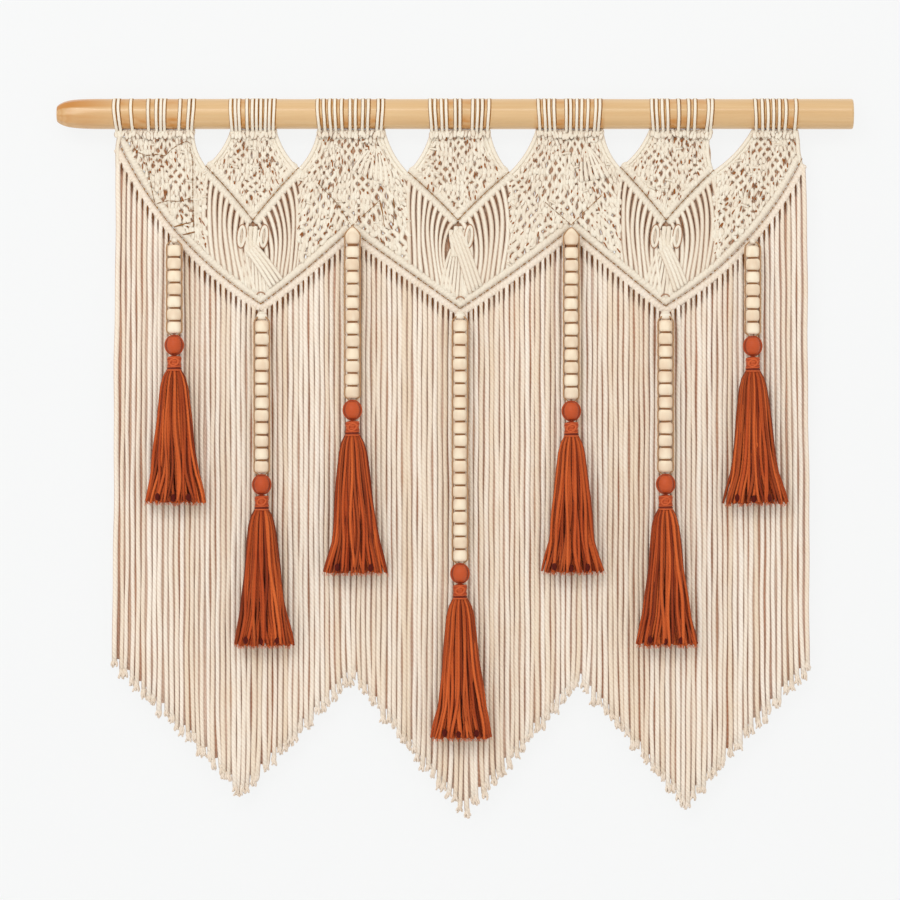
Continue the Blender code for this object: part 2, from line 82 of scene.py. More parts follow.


# Tubes along many paths at once. The point (i, j, k) is path(i, j) plus radius times (cos(turn k) of the side
# and flat times sin(turn k) of the out direction). Side is the direction across made square to the path, and
# out is square to both. An open tube gets a slightly domed end, and a closed one joins its own start. A
# single path, a radius for each step, or the amount and start of painted crevice shade in place of the
# tint will do too.
def addTubes(store, paths, radius, sides=6, across=toRight, flat=1.0, closed=False, shade=None, tint=0.0,
             dome=0.35):
    paths = paths[None] if paths.ndim == 2 else paths
    radius = radius[:, None] if np.ndim(radius) == 1 else radius
    tint = creviceShade(sides, *tint) if isinstance(tint, tuple) else tint
    count, steps = paths.shape[:2]
    if closed:
        along = unit(np.roll(paths, -1, 1) - np.roll(paths, 1, 1))
    else:
        along = unit(np.gradient(paths, axis=1))
    side = unit(across - along * (across * along).sum(2, keepdims=True))
    out = np.cross(along, side)
    turn = circle(sides)[:, None]
    size = np.broadcast_to(radius, (count, steps, sides))
    ring = np.cos(turn) * side[:, :, None] + flat * np.sin(turn) * out[:, :, None]
    points = (paths[:, :, None] + size[..., None] * ring).reshape(-1, 3)
    shade = chance.random(count) if shade is None else np.broadcast_to(shade, count)
    shades = np.repeat(shade, steps * sides)
    tints = np.broadcast_to(tint, (count, steps, sides)).reshape(-1)

    # A quad joins two neighbouring sides of two rings. The map holds the turn and the length so far in cm.
    walk = np.concatenate([paths, paths[:, :1]], 1) if closed else paths
    length = np.cumsum(np.linalg.norm(np.diff(walk, axis=1), axis=2), 1) / 10
    length = np.pad(length, ((0, 0), (1, 0)))
    first = sum(map(len, store["points"]))
    i, j, k = np.indices((count, steps if closed else steps - 1, sides))[..., None]
    j, k = j + (0, 0, 1, 1), k + (0, 1, 1, 0)
    quads = first + (i * steps + j % steps) * sides + k % sides
    store["quads"].append(quads.reshape(-1, 4))
    store["quadMap"].append(np.stack([k / sides, length[i, j]], -1).reshape(-1, 2))

    # The ends are fans of triangles round a middle point that stands out by dome times the radius.
    if not closed:
        reach = size.mean(2)
        ends = np.stack([paths[:, 0] - along[:, 0] * reach[:, :1] * dome,
                         paths[:, -1] + along[:, -1] * reach[:, -1:] * dome], 1).reshape(-1, 3)
        number, turns = np.indices((count, sides))
        middle = first + count * steps * sides + 2 * number
        base = first + number * steps * sides
        last = base + (steps - 1) * sides
        following = (turns + 1) % sides
        start = np.stack([middle, base + following, base + turns], -1)
        end = np.stack([middle + 1, last + turns, last + following], -1)
        store["fans"].append(np.concatenate([start.reshape(-1, 3), end.reshape(-1, 3)]))
        lengths = np.repeat(length[:, [0, -1]].T, 3 * sides)
        store["fanMap"].append(np.stack([np.tile((0.5, 0.0, 0.2), 2 * count * sides), lengths], -1))
        points = np.concatenate([points, ends])
        shades = np.concatenate([shades, np.repeat(shade, 2)])
        tints = np.concatenate([tints, np.zeros(2 * count)])
    store["points"].append(points)
    store["shade"].append(shades)
    store["tint"].append(tints)


# An object with its data, linked into the scene.
def newObject(name, data):
    made = bpy.data.objects.new(name, data)
    bpy.context.scene.collection.objects.link(made)
    return made


# A store becomes one mesh in metres, its quads first and then the triangles of its ends, with its cord map
# and its two attributes.
def makePiece(name, store, material, slot, *nodes):
    points, maps = np.concatenate(store["points"]) * mm, np.concatenate(store["quadMap"] + store["fanMap"])
    quads, fans = np.concatenate(store["quads"]), np.concatenate(store["fans"])
    mesh = bpy.data.meshes.new(name)
    mesh.vertices.add(len(points))
    mesh.vertices.foreach_set("co", points.ravel())
    corners = np.concatenate([quads.ravel(), fans.ravel()]).astype(np.int32)
    mesh.loops.add(len(corners))
    mesh.loops.foreach_set("vertex_index", corners)
    starts = np.concatenate([4 * np.arange(len(quads)), 4 * len(quads) + 3 * np.arange(len(fans))])
    mesh.polygons.add(len(starts))
    mesh.polygons.foreach_set("loop_start", starts.astype(np.int32))
    mesh.polygons.foreach_set("use_smooth", np.ones(len(starts), bool))
    mesh.update(calc_edges=True)
    mesh.uv_layers.new(name="cordMap").data.foreach_set("uv", maps.ravel())
    for label in ("shade", "tint"):
        layer = mesh.attributes.new(label, "FLOAT", "POINT")
        layer.data.foreach_set("value", np.concatenate(store[label]).astype(np.float32))
    mesh.validate()
    mesh.materials.append(material)
    piece = newObject(name, mesh)
    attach(piece, "root")
    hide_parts(*nodes)
    print(name, 2 * len(quads) + len(fans), "triangles")


# Lines in the plane of the panel.

# The length of a line up to each of its points, as a running sum.
def lengthsAlong(line):
    return np.concatenate([[0], np.cumsum(np.linalg.norm(np.diff(line, axis=0), axis=1))])


# A line is a list of (x, z) pairs. A point of it is found by its share of the line's length.
def onLine(line, shares):
    line = np.asarray(line, float)
    length = lengthsAlong(line)
    at = np.asarray(shares, float) * length[-1]
    return np.stack([np.interp(at, length, line[:, 0]), np.interp(at, length, line[:, 1])], -1)


# The line moved sideways: each point goes by the distance along the left-hand normals of its two sides, which
# are averaged and stretched so that both sides stay parallel to the old ones.
def offsetLine(line, distance):
    way = unit(np.diff(line, axis=0))
    normal = np.stack([-way[:, 1], way[:, 0]], -1)
    both = (np.concatenate([normal[:1], normal]) + np.concatenate([normal, normal[-1:]])) / 2
    return line + distance * both / np.maximum((both ** 2).sum(-1, keepdims=True), 0.5)


# A line from start to end whose middle hangs by bow on the right-hand side, as a parabola.
def bowedLine(start, end, bow, steps=12):
    start, end = np.asarray(start, float), np.asarray(end, float)
    share = np.linspace(0, 1, steps + 1)[:, None]
    way = unit(end - start)
    return start + (end - start) * share + np.array((way[1], -way[0])) * bow * 4 * share * (1 - share)


# The line's height at x, read off between its points.
def heightOn(line, x):
    line = np.asarray(line, float)
    return np.interp(x, line[:, 0], line[:, 1])


# The line's own point at x.
def pointOn(line, x):
    return np.array((x, heightOn(line, x)))


# The part of a line between two places, with new points at both ends.
def stretch(line, left, right):
    middle = line[(line[:, 0] > left + 0.5) & (line[:, 0] < right - 0.5)]
    return np.array([pointOn(line, left), *middle, pointOn(line, right)])


# A line of the panel's plane stood up at depth y.
def upright(line, y=0.0):
    return xyz(line[..., 0], y, line[..., 1])


# Points spaced evenly along a line, stood up at depth y.
def layLine(line, steps, y=0.0):
    return upright(onLine(line, np.linspace(0, 1, steps)), y)


# Even-odd rule: a point is inside when a level ray to its right crosses the outline an odd number of times.
def inside(outline, at):
    ax, az = outline[:, 0], outline[:, 1]
    bx, bz = np.roll(ax, -1), np.roll(az, -1)
    x, z = at[..., :1], at[..., 1:]
    level = (az > z) != (bz > z)
    crossing = ax + (z - az) * (bx - ax) / np.where(bz == az, 1e-9, bz - az)
    return (level & (x < crossing)).sum(-1) % 2 == 1


# The shortest distance from each point to the line's straight parts.
def distanceTo(line, at):
    start, way = line[:-1], np.diff(line, axis=0)
    at = at[..., None, :]
    share = clamp(((at - start) * way).sum(-1) / np.maximum((way ** 2).sum(-1), 1e-9))
    return np.linalg.norm(at - start - share[..., None] * way, axis=-1).min(-1)


# The first and last step that shows in each lane, for the lanes where these are more than least steps apart.
def shownSteps(shown, least):
    first = shown.argmax(1)
    last = shown.shape[1] - 1 - shown[:, ::-1].argmax(1)
    keep = shown.any(1) & (last - first > least)
    return first[keep], last[keep], keep


# Hitches and knots.

hitch = {
    # pitch along the row, half of a loop's height, the cord's radius, a loop's depth as part of its height,
    # how far it leans along the row, and y
    "row": (2.6, 2.35, 1.35, 0.62, 0.8, 0.0),
    "header": (4.4, 1.8, 1.35, 1.3, 1.4, -0.6),
    "sides": 5,
    "steps": 9,
    # how far painted shade browns the loops
    "tint": 0.12,
    "wobble": 0.1,
}


# Knotted rows: small closed loops side by side along a line. A loop is an ellipse in the plane square to the
# row, and its top and bottom are drawn along the row, so that the loops lean like half hitches.
def addHitches(store, line, kind="row", hand=1):
    pitch, half, cord, deep, lean, y = hitch[kind]
    core = layLine(line, 40, y)
    addTubes(store, core, half + 0.72 * cord, 12, upwards, flat=0.76, shade=0.4, tint=0.04)
    count = max(2, int(round(lengthsAlong(line)[-1] / pitch)))
    shares = (np.arange(count) + 0.5) / count
    centre = upright(onLine(line, shares), y)[:, None]
    along = unit(upright(onLine(line, shares + 0.01) - onLine(line, shares - 0.01)))[:, None]
    normal = np.cross(along, backwards)
    turn = circle(hitch["steps"])[:, None]
    size = half * (1 + hitch["wobble"] * (chance.random(count) - 0.5))[:, None, None]
    slant = hand * lean * (1 + 0.5 * (chance.random(count) - 0.5))[:, None, None]
    loops = (centre + size * np.cos(turn) * normal + deep * size * np.sin(turn) * backwards
             + slant * np.cos(turn) * along)
    # Painted shade browns each loop at its top and bottom and where it touches its neighbours.
    brown = hitch["tint"] * clamp(np.abs(np.cos(turn)) - 0.3) + creviceShade(hitch["sides"], hitch["tint"], 0.4)
    addTubes(store, loops, cord, hitch["sides"], along, closed=True, tint=brown)


# Smooth knots: each is a bead whose radius is size * (1 - v^2)^0.4 at a share v of its half length, with
# painted crevice shade on its sides.
def addKnots(store, centre, along):
    v = roundPlaces(7)[:, None]
    reach = 2.2 + 1.3 * chance.random((len(centre), 1, 1))
    size = (1.5 + 0.6 * chance.random((len(centre), 1, 1))) * (1 - v ** 2) ** 0.4
    paths = centre[:, None] + along[:, None] * reach * v
    addTubes(store, paths, size, 8, flat=0.6, tint=(0.95, 0.7), dome=0.1)


# Materials.

# A colour of 0 to 255 turned from its screen values into linear light.
def linear(colour):
    part = np.array(colour) / 255
    return tuple(np.where(part <= 0.04045, part / 12.92, ((part + 0.055) / 1.055) ** 2.4)) + (1.0,)


# A shader node with its settings. An input is linked where a socket is given, and otherwise takes the value.
def addNode(tree, kind, inputs, **settings):
    made = tree.nodes.new(kind)
    for label, value in settings.items():
        setattr(made, label, value)
    for label, value in inputs.items():
        if isinstance(value, bpy.types.NodeSocket):
            tree.links.new(value, made.inputs[label])
        else:
            made.inputs[label].default_value = value
    return made


# The outcome of one sum in the shader.
def maths(tree, operation, *values):
    return addNode(tree, "ShaderNodeMath", dict(enumerate(values)), operation=operation).outputs[0]


# The first value times the second.
def times(tree, first, second):
    return maths(tree, "MULTIPLY", first, second)


# The first value plus the second.
def plus(tree, first, second):
    return maths(tree, "ADD", first, second)


# The first colour turned into the second by a share of it.
def mixed(tree, share, first, second):
    return addNode(tree, "ShaderNodeMix", {0: share, 6: first, 7: second}, data_type="RGBA").outputs[2]


# Noise over the given place.
def noise(tree, place, scale, detail, roughness=0.5):
    return addNode(tree, "ShaderNodeTexNoise", {"Vector": place, "Scale": scale, "Detail": detail,
                                                "Roughness": roughness}).outputs["Fac"]


# A new material, with what cord and wood share: the place on the piece, slow patches, and its two attributes;
# the tint mostly carries painted shade.
def newMaterial(name, patchScale, fixed):
    material = bpy.data.materials.new(name)
    material.use_nodes = True
    tree = material.node_tree
    for label, value in fixed.items():
        tree.nodes["Principled BSDF"].inputs[label].default_value = value
    place = addNode(tree, "ShaderNodeTexCoord", {})
    patches = noise(tree, place.outputs["Object"], patchScale, 2.0)
    shade, tint = [addNode(tree, "ShaderNodeAttribute", {}, attribute_name=label).outputs["Fac"]
                   for label in ("shade", "tint")]
    return material, tree, place, patches, shade, tint


# The base colour turns to the dark one by its share, over a bump of the given height.
def finishMaterial(tree, base, dark, share, height, strength, depth):
    shader = tree.nodes["Principled BSDF"]
    tree.links.new(mixed(tree, share, base, linear(dark)), shader.inputs["Base Color"])
    bump = addNode(tree, "ShaderNodeBump", {"Height": height, "Strength": strength, "Distance": depth})
    tree.links.new(bump.outputs[0], shader.inputs["Normal"])


# Twisted cord: its plies run round it as a sine of the map's turn and length, over a fine fibre noise.
# Painted shade darkens the grooves between the plies, and the tint turns the tone to the brown of painted
# crevice shade.
def cordMaterial(name, pale, deep, brown, plies, perCm, fibre, depth, sheen, roughness, grooveShade):
    material, tree, place, patches, shade, tint = newMaterial(name, 45.0, {
        "Roughness": roughness, "Sheen Weight": sheen, "Sheen Roughness": 0.6, "Specular IOR Level": 0.2})
    parts = addNode(tree, "ShaderNodeSeparateXYZ", {0: place.outputs["UV"]}).outputs
    turn = plus(tree, times(tree, parts[0], plies), times(tree, parts[1], perCm))
    ply = maths(tree, "SINE", times(tree, turn, 2 * np.pi))
    fuzz = noise(tree, place.outputs["Object"], fibre, 3.0)
    tone = plus(tree, times(tree, shade, 0.55), times(tree, patches, 0.45))
    groove = times(tree, maths(tree, "SUBTRACT", 1.0, ply), grooveShade)
    darker = addNode(tree, "ShaderNodeClamp", {0: plus(tree, tint, groove)}).outputs[0]
    finishMaterial(tree, mixed(tree, tone, linear(pale), linear(deep)), brown, darker,
                   plus(tree, ply, times(tree, fuzz, 0.9)), 0.45, depth)
    return material


# Wood: streaks of noise drawn out along one axis, over the rings of a wave about that axis. The tint turns it
# to the dark tone as painted shade.
def woodMaterial(name, pale, deep, dark, axisScale, ringScale, roughness, coat, depth):
    material, tree, place, patches, shade, tint = newMaterial(name, 14.0, {
        "Roughness": roughness, "Coat Weight": coat, "Coat Roughness": 0.16, "Specular IOR Level": 0.45})
    scaled = {"Vector": place.outputs["Object"], "Scale": axisScale}
    drawn = addNode(tree, "ShaderNodeMapping", scaled).outputs[0]
    streak = noise(tree, drawn, 1.0, 5.0, 0.6)
    rings = addNode(tree, "ShaderNodeTexWave", {"Vector": drawn, "Scale": ringScale, "Distortion": 3.0,
                                                "Detail": 2.0, "Detail Scale": 1.2},
                    wave_type="RINGS", rings_direction="X").outputs["Fac"]
    tone = plus(tree, times(tree, streak, 0.75), times(tree, maths(tree, "SUBTRACT", shade, 0.5), 0.4))
    ramp = addNode(tree, "ShaderNodeValToRGB", {0: plus(tree, tone, times(tree, patches, 0.25))})
    for stop, position, colour in zip(ramp.color_ramp.elements, (0.3, 0.8), (pale, deep)):
        stop.position = position
        stop.color = linear(colour)
    ringed = mixed(tree, times(tree, rings, 0.22), ramp.outputs[0], linear(dark))
    finishMaterial(tree, ringed, dark, tint, streak, 0.35, depth)
    return material


cordLooks = {
    # pale and deep tone and the brown of the painted crevice shade, then plies, turns to a cm, scale of the
    # fibres, depth of the bump in m, sheen, roughness, and how far painted shade darkens the grooves between
    # the plies
    "naturalCotton": ((237, 232, 217), (223, 211, 192), (150, 87, 28),
                      3.0, 2.2, 1500.0, 0.00026, 0.1, 0.95, 0.02),
    "hangingCotton": ((245, 240, 230), (226, 208, 182), (158, 86, 40),
                      3.0, 2.6, 1500.0, 0.0003, 0.12, 0.95, 0.055),
    "shadedCord": ((126, 76, 36), (92, 54, 26), (66, 38, 18),
                   2.0, 4.0, 1500.0, 0.0002, 0.0, 0.95, 0.02),
    "creaseShadeCord": ((184, 128, 56), (130, 84, 34), (92, 54, 24),
                 2.0, 4.0, 1500.0, 0.0002, 0.0, 0.95, 0.02),
    "tanCord": ((214, 176, 132), (186, 144, 102), (120, 76, 42),
                2.0, 5.0, 2500.0, 0.0002, 0.1, 0.8, 0.02),
    "terracottaYarn": ((240, 122, 58), (150, 38, 8), (80, 14, 3),
                       2.0, 3.0, 2200.0, 0.0003, 0.02, 0.9, 0.02),
    "terracottaThread": ((205, 97, 49), (164, 58, 24), (92, 22, 7),
                         2.0, 6.0, 2600.0, 0.0001, 0.02, 0.42, 0.02),
}
woodLooks = {
    # pale, deep and dark tone, the dark one for the rings and for painted shade, then the scale along each
    # axis, scale of the rings, roughness, coat and bump
    "rodWood": ((219, 192, 147), (196, 161, 110), (182, 114, 12),
                (5.0, 210.0, 210.0), 0.9, 0.32, 0.5, 0.0001),
    "beadWood": ((235, 223, 200), (232, 214, 187), (168, 108, 56),
                 (220.0, 220.0, 40.0), 0.4, 0.7, 0.0, 0.0001),
}
cotton, hangingCotton, shadedCord, creaseShadeCord, tanCord, yarn, threadWrap = [
    cordMaterial(name, *look) for name, look in cordLooks.items()]
rodWood, beadWood = [woodMaterial(name, *look) for name, look in woodLooks.items()]
print("materials ready")


# Rod.

rod = {
    "half": 330.0,
    "radius": 12.5,
    "sides": 64,
    "rings": 210,
    "blotchRows": 434,                   # rows of blotches drawn, of which the rod takes the first
    # how far from the left end, and the part of the radius there: a nose shaved round by hand
    "noseSteps": (0.0, 0.25, 1.2, 3.0, 6.0, 9.5, 13.5, 18.0, 24.0, 32.0),
    "noseSizes": (0.44, 0.52, 0.60, 0.70, 0.815, 0.895, 0.945, 0.975, 0.993, 1.0),
    # the same from the right end: a small worn edge
    "endSteps": (1.3, 0.55, 0.15, 0.0),
    "endSizes": (1.0, 0.975, 0.935, 0.90),
    "facets": 11,
    "facetTurn": -0.03,                  # sets an edge 23 degrees above the front
    "facetLength": 34.0,
    # painted shade on the facets, by the way each faces:
    "facetShades": (0.92, 0.36, 0.5, 0.35),      # above the front edge, in front, below it, and the rest
    "shadeLength": 45.0,
}


# The rod's radius falls towards the nose, and there a few flat cuts lower it to the chord of each facet,
# which is cos(facet / 2) / cos(angle from the facet's middle). Near the nose the wood browns, by facet: the
# differences between facets, by the way each faces, are painted shade, and so are the lines on the edges
# between them. Between the wraps the wood gets painted shade with random blotches in it, darker above and
# most below, and is left pale in a band just above the middle as a painted highlight.
def makeRod():
    store = newStore()
    noseX = -rod["half"] + np.array(rod["noseSteps"])
    bodyX = np.linspace(noseX[-1] + 2, rod["half"] - 3, rod["rings"])
    x = np.concatenate([noseX, bodyX, rod["half"] - np.array(rod["endSteps"])])
    size = np.concatenate([rod["noseSizes"], np.ones(rod["rings"]), rod["endSizes"]]) * rod["radius"]
    turn = circle(rod["sides"])
    facet = 2 * np.pi / rod["facets"]
    number, angle = np.divmod(turn + rod["facetTurn"], facet)
    chord = np.cos(facet / 2) / np.cos(angle - facet / 2)
    fromEnd = (x + rod["half"])[:, None]
    near = clamp(1 - fromEnd / rod["facetLength"])
    worn = 1 - np.minimum(1.4 * near, 1) * (1 - chord)
    sway = 1 + 0.006 * np.sin(x / 47.0)[:, None] + 0.004 * np.cos(2 * turn + 0.02 * x[:, None])

    above, front, below, rest = rod["facetShades"]
    cut = np.select([(number >= 0) & (number < 2), number == 2, number == 3], [above, front, below], rest)
    edge = clamp(np.abs(angle / facet - 0.5) * 12 - 5)
    fade = clamp(1.3 - fromEnd / rod["shadeLength"]) ** 0.8
    brown = fade * (cut + 0.12 * edge) + 0.35 * (near > 0.97) * (number < 2)
    wrapped = sum(clamp((right - left) / 2 - np.abs(x - (left + right) / 2)) for left, right in groups)
    level = np.cos(turn)                 # 1 on top of the rod, 0 in front
    wrapShadeBand = clamp(np.abs(level - 0.12) * 2.2 - 0.25) * (0.62 + 0.38 * (level < 0))
    blotch = chance.random((rod["blotchRows"], rod["sides"]))[:len(x)]
    beside = np.roll(blotch, 1, 0) + np.roll(blotch, 1, 1) + np.roll(blotch, (1, 1), (0, 1))
    blotch = (blotch + beside) / 2 - 0.5
    brown = clamp(brown + wrapped[:, None] * (0.06 + (0.24 + 0.55 * blotch) * wrapShadeBand))
    addTubes(store, xyz(x, 0, 0), (size[:, None] * worn * sway)[None], rod["sides"], upwards, shade=0.5,
             tint=brown, dome=0.02)
    makePiece("roundRod", store, rodWood, "rod_wood", "rod")


makeRod()


# Cords wrapped over the rod.

wraps = {
    # the middles of the cords of each group
    "cords": ((-282.0, -278.6, -268.2, -254.1, -247.0, -243.4, -240.0, -227.6, -219.9, -216.4),
              (-185.7, -182.2, -178.8, -172.4, -167.6, -164.1, -160.7, -156.7, -153.0, -149.6),
              (-113.6, -109.0, -103.6, -99.5, -93.7, -87.0, -82.1, -76.3, -71.7, -63.5, -59.7),
              (-20.7, -16.6, -11.6, -7.5, 0.0, 4.1, 14.9, 18.8, 22.6, 28.2),
              (68.8, 73.8, 77.9, 82.1, 92.0, 95.5, 101.1, 105.3, 110.3, 116.7, 120.2),
              (163.1, 166.8, 171.6, 175.7, 184.9, 193.2, 199.0, 209.5, 213.1),
              (248.4, 254.3, 258.6, 263.6, 268.6, 273.6, 282.2)),
    "headerZ": -15.5,
    "cord": 1.3,
    "shadeHalf": 1.8,                    # half the width of the brown shade under a cord
    "reach": 12.62,                      # from the rod's axis to a cord's middle
    "arc": (-52, 232, 19),               # from the front round to the back in degrees, and its steps
    "footZ": -15.6,
}


# Each cord is an arc about the rod's axis, from low at the front over the top to low at the back, and both
# its ends run down into the panel, drawn in a little to the group's middle.
def hoops(x, middle, reach):
    turn = np.radians(np.linspace(*wraps["arc"]))
    y = np.concatenate([(-1.2, -4.0), -reach * np.cos(turn), (4.5, 1.5)])
    z = np.concatenate([(-17.0, -14.2), reach * np.sin(turn), (-14.8, -19.0)])
    drawn = 0.045 * (middle - x)[:, None] * np.clip((4 - z) / 14, 0, 2)
    return xyz(x[:, None] + drawn, y, z)


# The cords drift a little sideways as a sine of their length, over a flat brown shade. Each goes into a knot
# of its own just under the rod, and a second row of knots closes the gaps.
def makeWraps():
    store, shades = newStore(), newStore()
    for (left, right), cords in zip(groups, wraps["cords"]):
        x, middle = np.array(cords), (left + right) / 2
        paths = hoops(x, middle, wraps["reach"])
        under = hoops(x + 0.2, middle, wraps["reach"] + 0.05)
        drift = 0.8 * (chance.random((len(x), 1)) - 0.5) * np.sin(np.linspace(0, 2 * np.pi, paths.shape[1]))
        paths[..., 0] += drift
        under[..., 0] += drift
        shade = 0.35 * chance.random(len(x))
        # The cords' sides get painted crevice shade, and the flat brown shade under them is painted shade
        # too.
        addTubes(store, paths, wraps["cord"], 10, flat=0.5, shade=shade, tint=(0.9, 0.8))
        addTubes(shades, under[:, 2:-2], wraps["shadeHalf"], flat=0.2)
        addHitches(store, ((left, wraps["headerZ"]), (right, wraps["headerZ"])), "header")
        between = np.linspace(left + 2, right - 2, int((right - left) / 3))
        foot = np.concatenate([0.955 * (x - middle) + middle, between])
        knots = xyz(foot, -3.0 - chance.random(len(foot)), wraps["footZ"] - 3.2 * chance.random(len(foot)))
        addKnots(store, knots, unit(xyz(0.9 * (chance.random(len(foot)) - 0.5), 0, -1)))
    makePiece("rodWraps", store, cotton, "cotton_cord", "knotted_panel")
    makePiece("wrapShades", shades, creaseShadeCord, "cotton_cord", "knotted_panel")


makeWraps()


# The Vs.

vees = {
    # ends, points and junctions of the line between the two rows of the large Vs, and how far each arm bows
    "spots": ((-279.4, -22), (-160.8, -157.5), (-86.6, -96.2), (4.4, -161.3), (96.2, -94.8), (174.3, -159.2),
              (287.6, -37)),
    "bows": (13.3, 1.5, 0, 1.5, 0, 12.5),
    "notches": ((-206.5, -43), (-129.5, -44.5), (-39, -48), (45, -48), (137, -44), (214.5, -46.5)),
    "smallPoints": ((-167.5, -88), (2.5, -88), (175, -88)),
    # dotted lines of painted crease shade on the patches: the arms' lines run on past the junctions, and more
    # of them cross the first patch
    "creaseShades": (((-113.6, -57.2), (-98.0, -74.0), (-85.4, -93.0)), ((-85.4, -93.0), (-62.2, -71.6)),
              ((74.6, -73.0), (96.2, -92.0)), ((96.2, -92.0), (121.9, -67.1)),
              ((-258.6, -34.0), (-255.3, -42.3), (-251.2, -62.2), (-248.4, -76.0)),
              ((-219.7, -27.4), (-217.2, -38.1), (-217.2, -71.3), (-216.4, -94.5)),
              ((-267.8, -22.4), (-263.9, -31.5), (-255.6, -34.5), (-247.3, -33.6), (-239.9, -34.8),
               (-235.4, -29.8), (-228.7, -25.4), (-222.4, -22.6), (-218.0, -25.3)),
              ((-246.6, -74.2), (-238.0, -72.0), (-229.3, -72.6), (-219.0, -70.0))),
    "dashes": (((-232.9, -93.7), (-216.4, -89.1)), ((-225.5, -100.3), (-215.5, -97.8)),
               ((-62.2, -72.1), (-60.0, -82.0), (-58.5, -93.4)),
               ((-51.1, -69.5), (-50.2, -76.9), (-51.1, -92.3))),
    # y, radius and length of a dash for both
    "creaseShadeLooks": (("creaseShades", -2.9, 0.36, 2.7), ("dashes", -2.6, 0.5, 30.0)),
    "rowStep": 3.7,                      # from a row's middle to the line between two rows
    "smallStep": 3.4,
    "smallBow": -0.8,
}
arms = [bowedLine(a, b, bow) for a, b, bow in zip(vees["spots"], vees["spots"][1:], vees["bows"])]
vLine = np.concatenate([arms[0]] + [arm[1:] for arm in arms[1:]])
knotLine = offsetLine(vLine, 6.6)         # the patches end above the inner row


# A dotted brown line of painted crease shade: one thin cord whose radius swells and shrinks along it as a sum
# of sines.
def addCreaseShade(store, line, y=-2.9, thick=0.42, dash=2.7):
    length = lengthsAlong(line)[-1]
    share = np.linspace(0, 1, max(8, int(length / 0.8)))
    beat = 2 * np.pi * share * length / dash
    swell = 0.7 + 0.45 * np.sin(beat + 3 * np.sin(beat / 7)) + 0.3 * np.sin(beat / 2.3)
    size = thick * np.clip(swell, 0.25, 1.3)
    addTubes(store, upright(onLine(line, share), y), size, 6, backwards, tint=0.28)


# The large Vs have a row of half hitches above their line. The small ones have one above and one below, which
# leans the other way. A dotted brown line of painted crease shade is sunk in the parting.
def makeRowPieces():
    store, creaseShades = newStore(), newStore()
    for arm in arms:
        addHitches(store, offsetLine(arm, vees["rowStep"]))
        addCreaseShade(creaseShades, arm)
    for k, point in enumerate(vees["smallPoints"]):
        for notch in vees["notches"][2 * k:2 * k + 2]:
            line = bowedLine(*sorted((notch, point)), vees["smallBow"])
            for hand in (1, -1):
                addHitches(store, offsetLine(line, hand * vees["smallStep"]), hand=hand)
            addCreaseShade(creaseShades, line)
    for kind, y, thick, dash in vees["creaseShadeLooks"]:
        for line in vees[kind]:
            addCreaseShade(creaseShades, line, y, thick, dash)
    makePiece("vRows", store, cotton, "cotton_cord", "knotted_panel")
    makePiece("creaseShades", creaseShades, creaseShadeCord, "cotton_cord", "knotted_panel")


makeRowPieces()


# Knotted patches.

patch = {
    # from lane to lane, how fast the lanes spread, how the rows bend, and from a knot to the next parting
    "kinds": {"vee": {"pitch": 3.5, "spread": 0.0035, "bend": -0.2, "down": 4.5},
              "wing": {"pitch": 3.1, "spread": 0.0075, "bend": 0.1, "down": 5.1},
              "end": {"pitch": 3.6, "spread": 0.003, "bend": 0.0, "down": 4.5}},
    "lanes": 30,                         # to each side of the middle one
    "knotRows": 30,
    "reach": (-1, 125, 127),             # the depths below the header at which a lane may start and end
    "swing": (0.05, 1.3),
    "clear": (5.0, 6.0, 6.5),            # from the openings' edges to the cords, knots and hollows
    "hollows": 190,
    "backLanes": 52,
    "backPitch": 2.7,
    "backCord": 1.45,
    "backSteps": (12, 20),               # steps of a cord, and shades drawn for it
    "openingBow": 2.8,
    "edgeCord": 1.75,
    "edgeCords": ((1.9, -0.7), (4.9, -0.2), (7.9, 0.3)),       # distance from the opening's edge, and y
    "sideCords": (((-277.0, -14.0), (-278.2, -20.0), (-279.4, -26.0), (-279.6, -38.0), (-279.4, -50.0)),
                  ((282.6, -14.0), (283.8, -22.0), (284.4, -32.0), (286.2, -40.0), (287.4, -54.0))),
    "straightCords": (-215.5, -212.0, -208.5),
    "junctionKnots": ((-3.2, -1.0, 1.4, 3.4, 0.2), (0.0, 2.2, 2.0, 0.2, -1.4)),
    # where each fan of straight cords starts, the first end, the last end and the number of its cords
    "fans": (((-65.9, -26.1), ((-84.0, -47.0), (-52.0, -61.0), 8)),
             ((109.5, -27.0), ((105.0, -56.0), (127.0, -52.0), 6))),
}


# The sides of the openings beside a group, from the rod to the notch, and the hand on which the patch lies.
def openEdges(g):
    found = []
    if g < 6:
        found.append((groups[g][1], vees["notches"][g], -1))
    if g > 0:
        found.append((groups[g][0], vees["notches"][g - 1], 1))
    return [(bowedLine((x, wraps["headerZ"] + 3), notch, -hand * patch["openingBow"]), hand)
            for x, notch, hand in found]


# The outline of a patch: its header on the rod, and below it the notches, the edges of the eyes and the arms.
def patchOutline(g):
    left, right = groups[g]
    head = ((left, wraps["headerZ"]), (right, wraps["headerZ"]))
    before, after = vees["notches"][max(g - 1, 0)], vees["notches"][min(g, 5)]
    if g % 2:
        low = np.array((after, vees["smallPoints"][g // 2], before)) + ((-1, 1), (0, 6), (1, 1))
        return np.concatenate([head, low])
    low = stretch(knotLine, before[0] if g > 0 else left + 3, after[0] if g < 6 else right - 1)
    return np.array([*head, *[after] * (g < 6), *low[::-1], *[before] * (g > 0)], float)


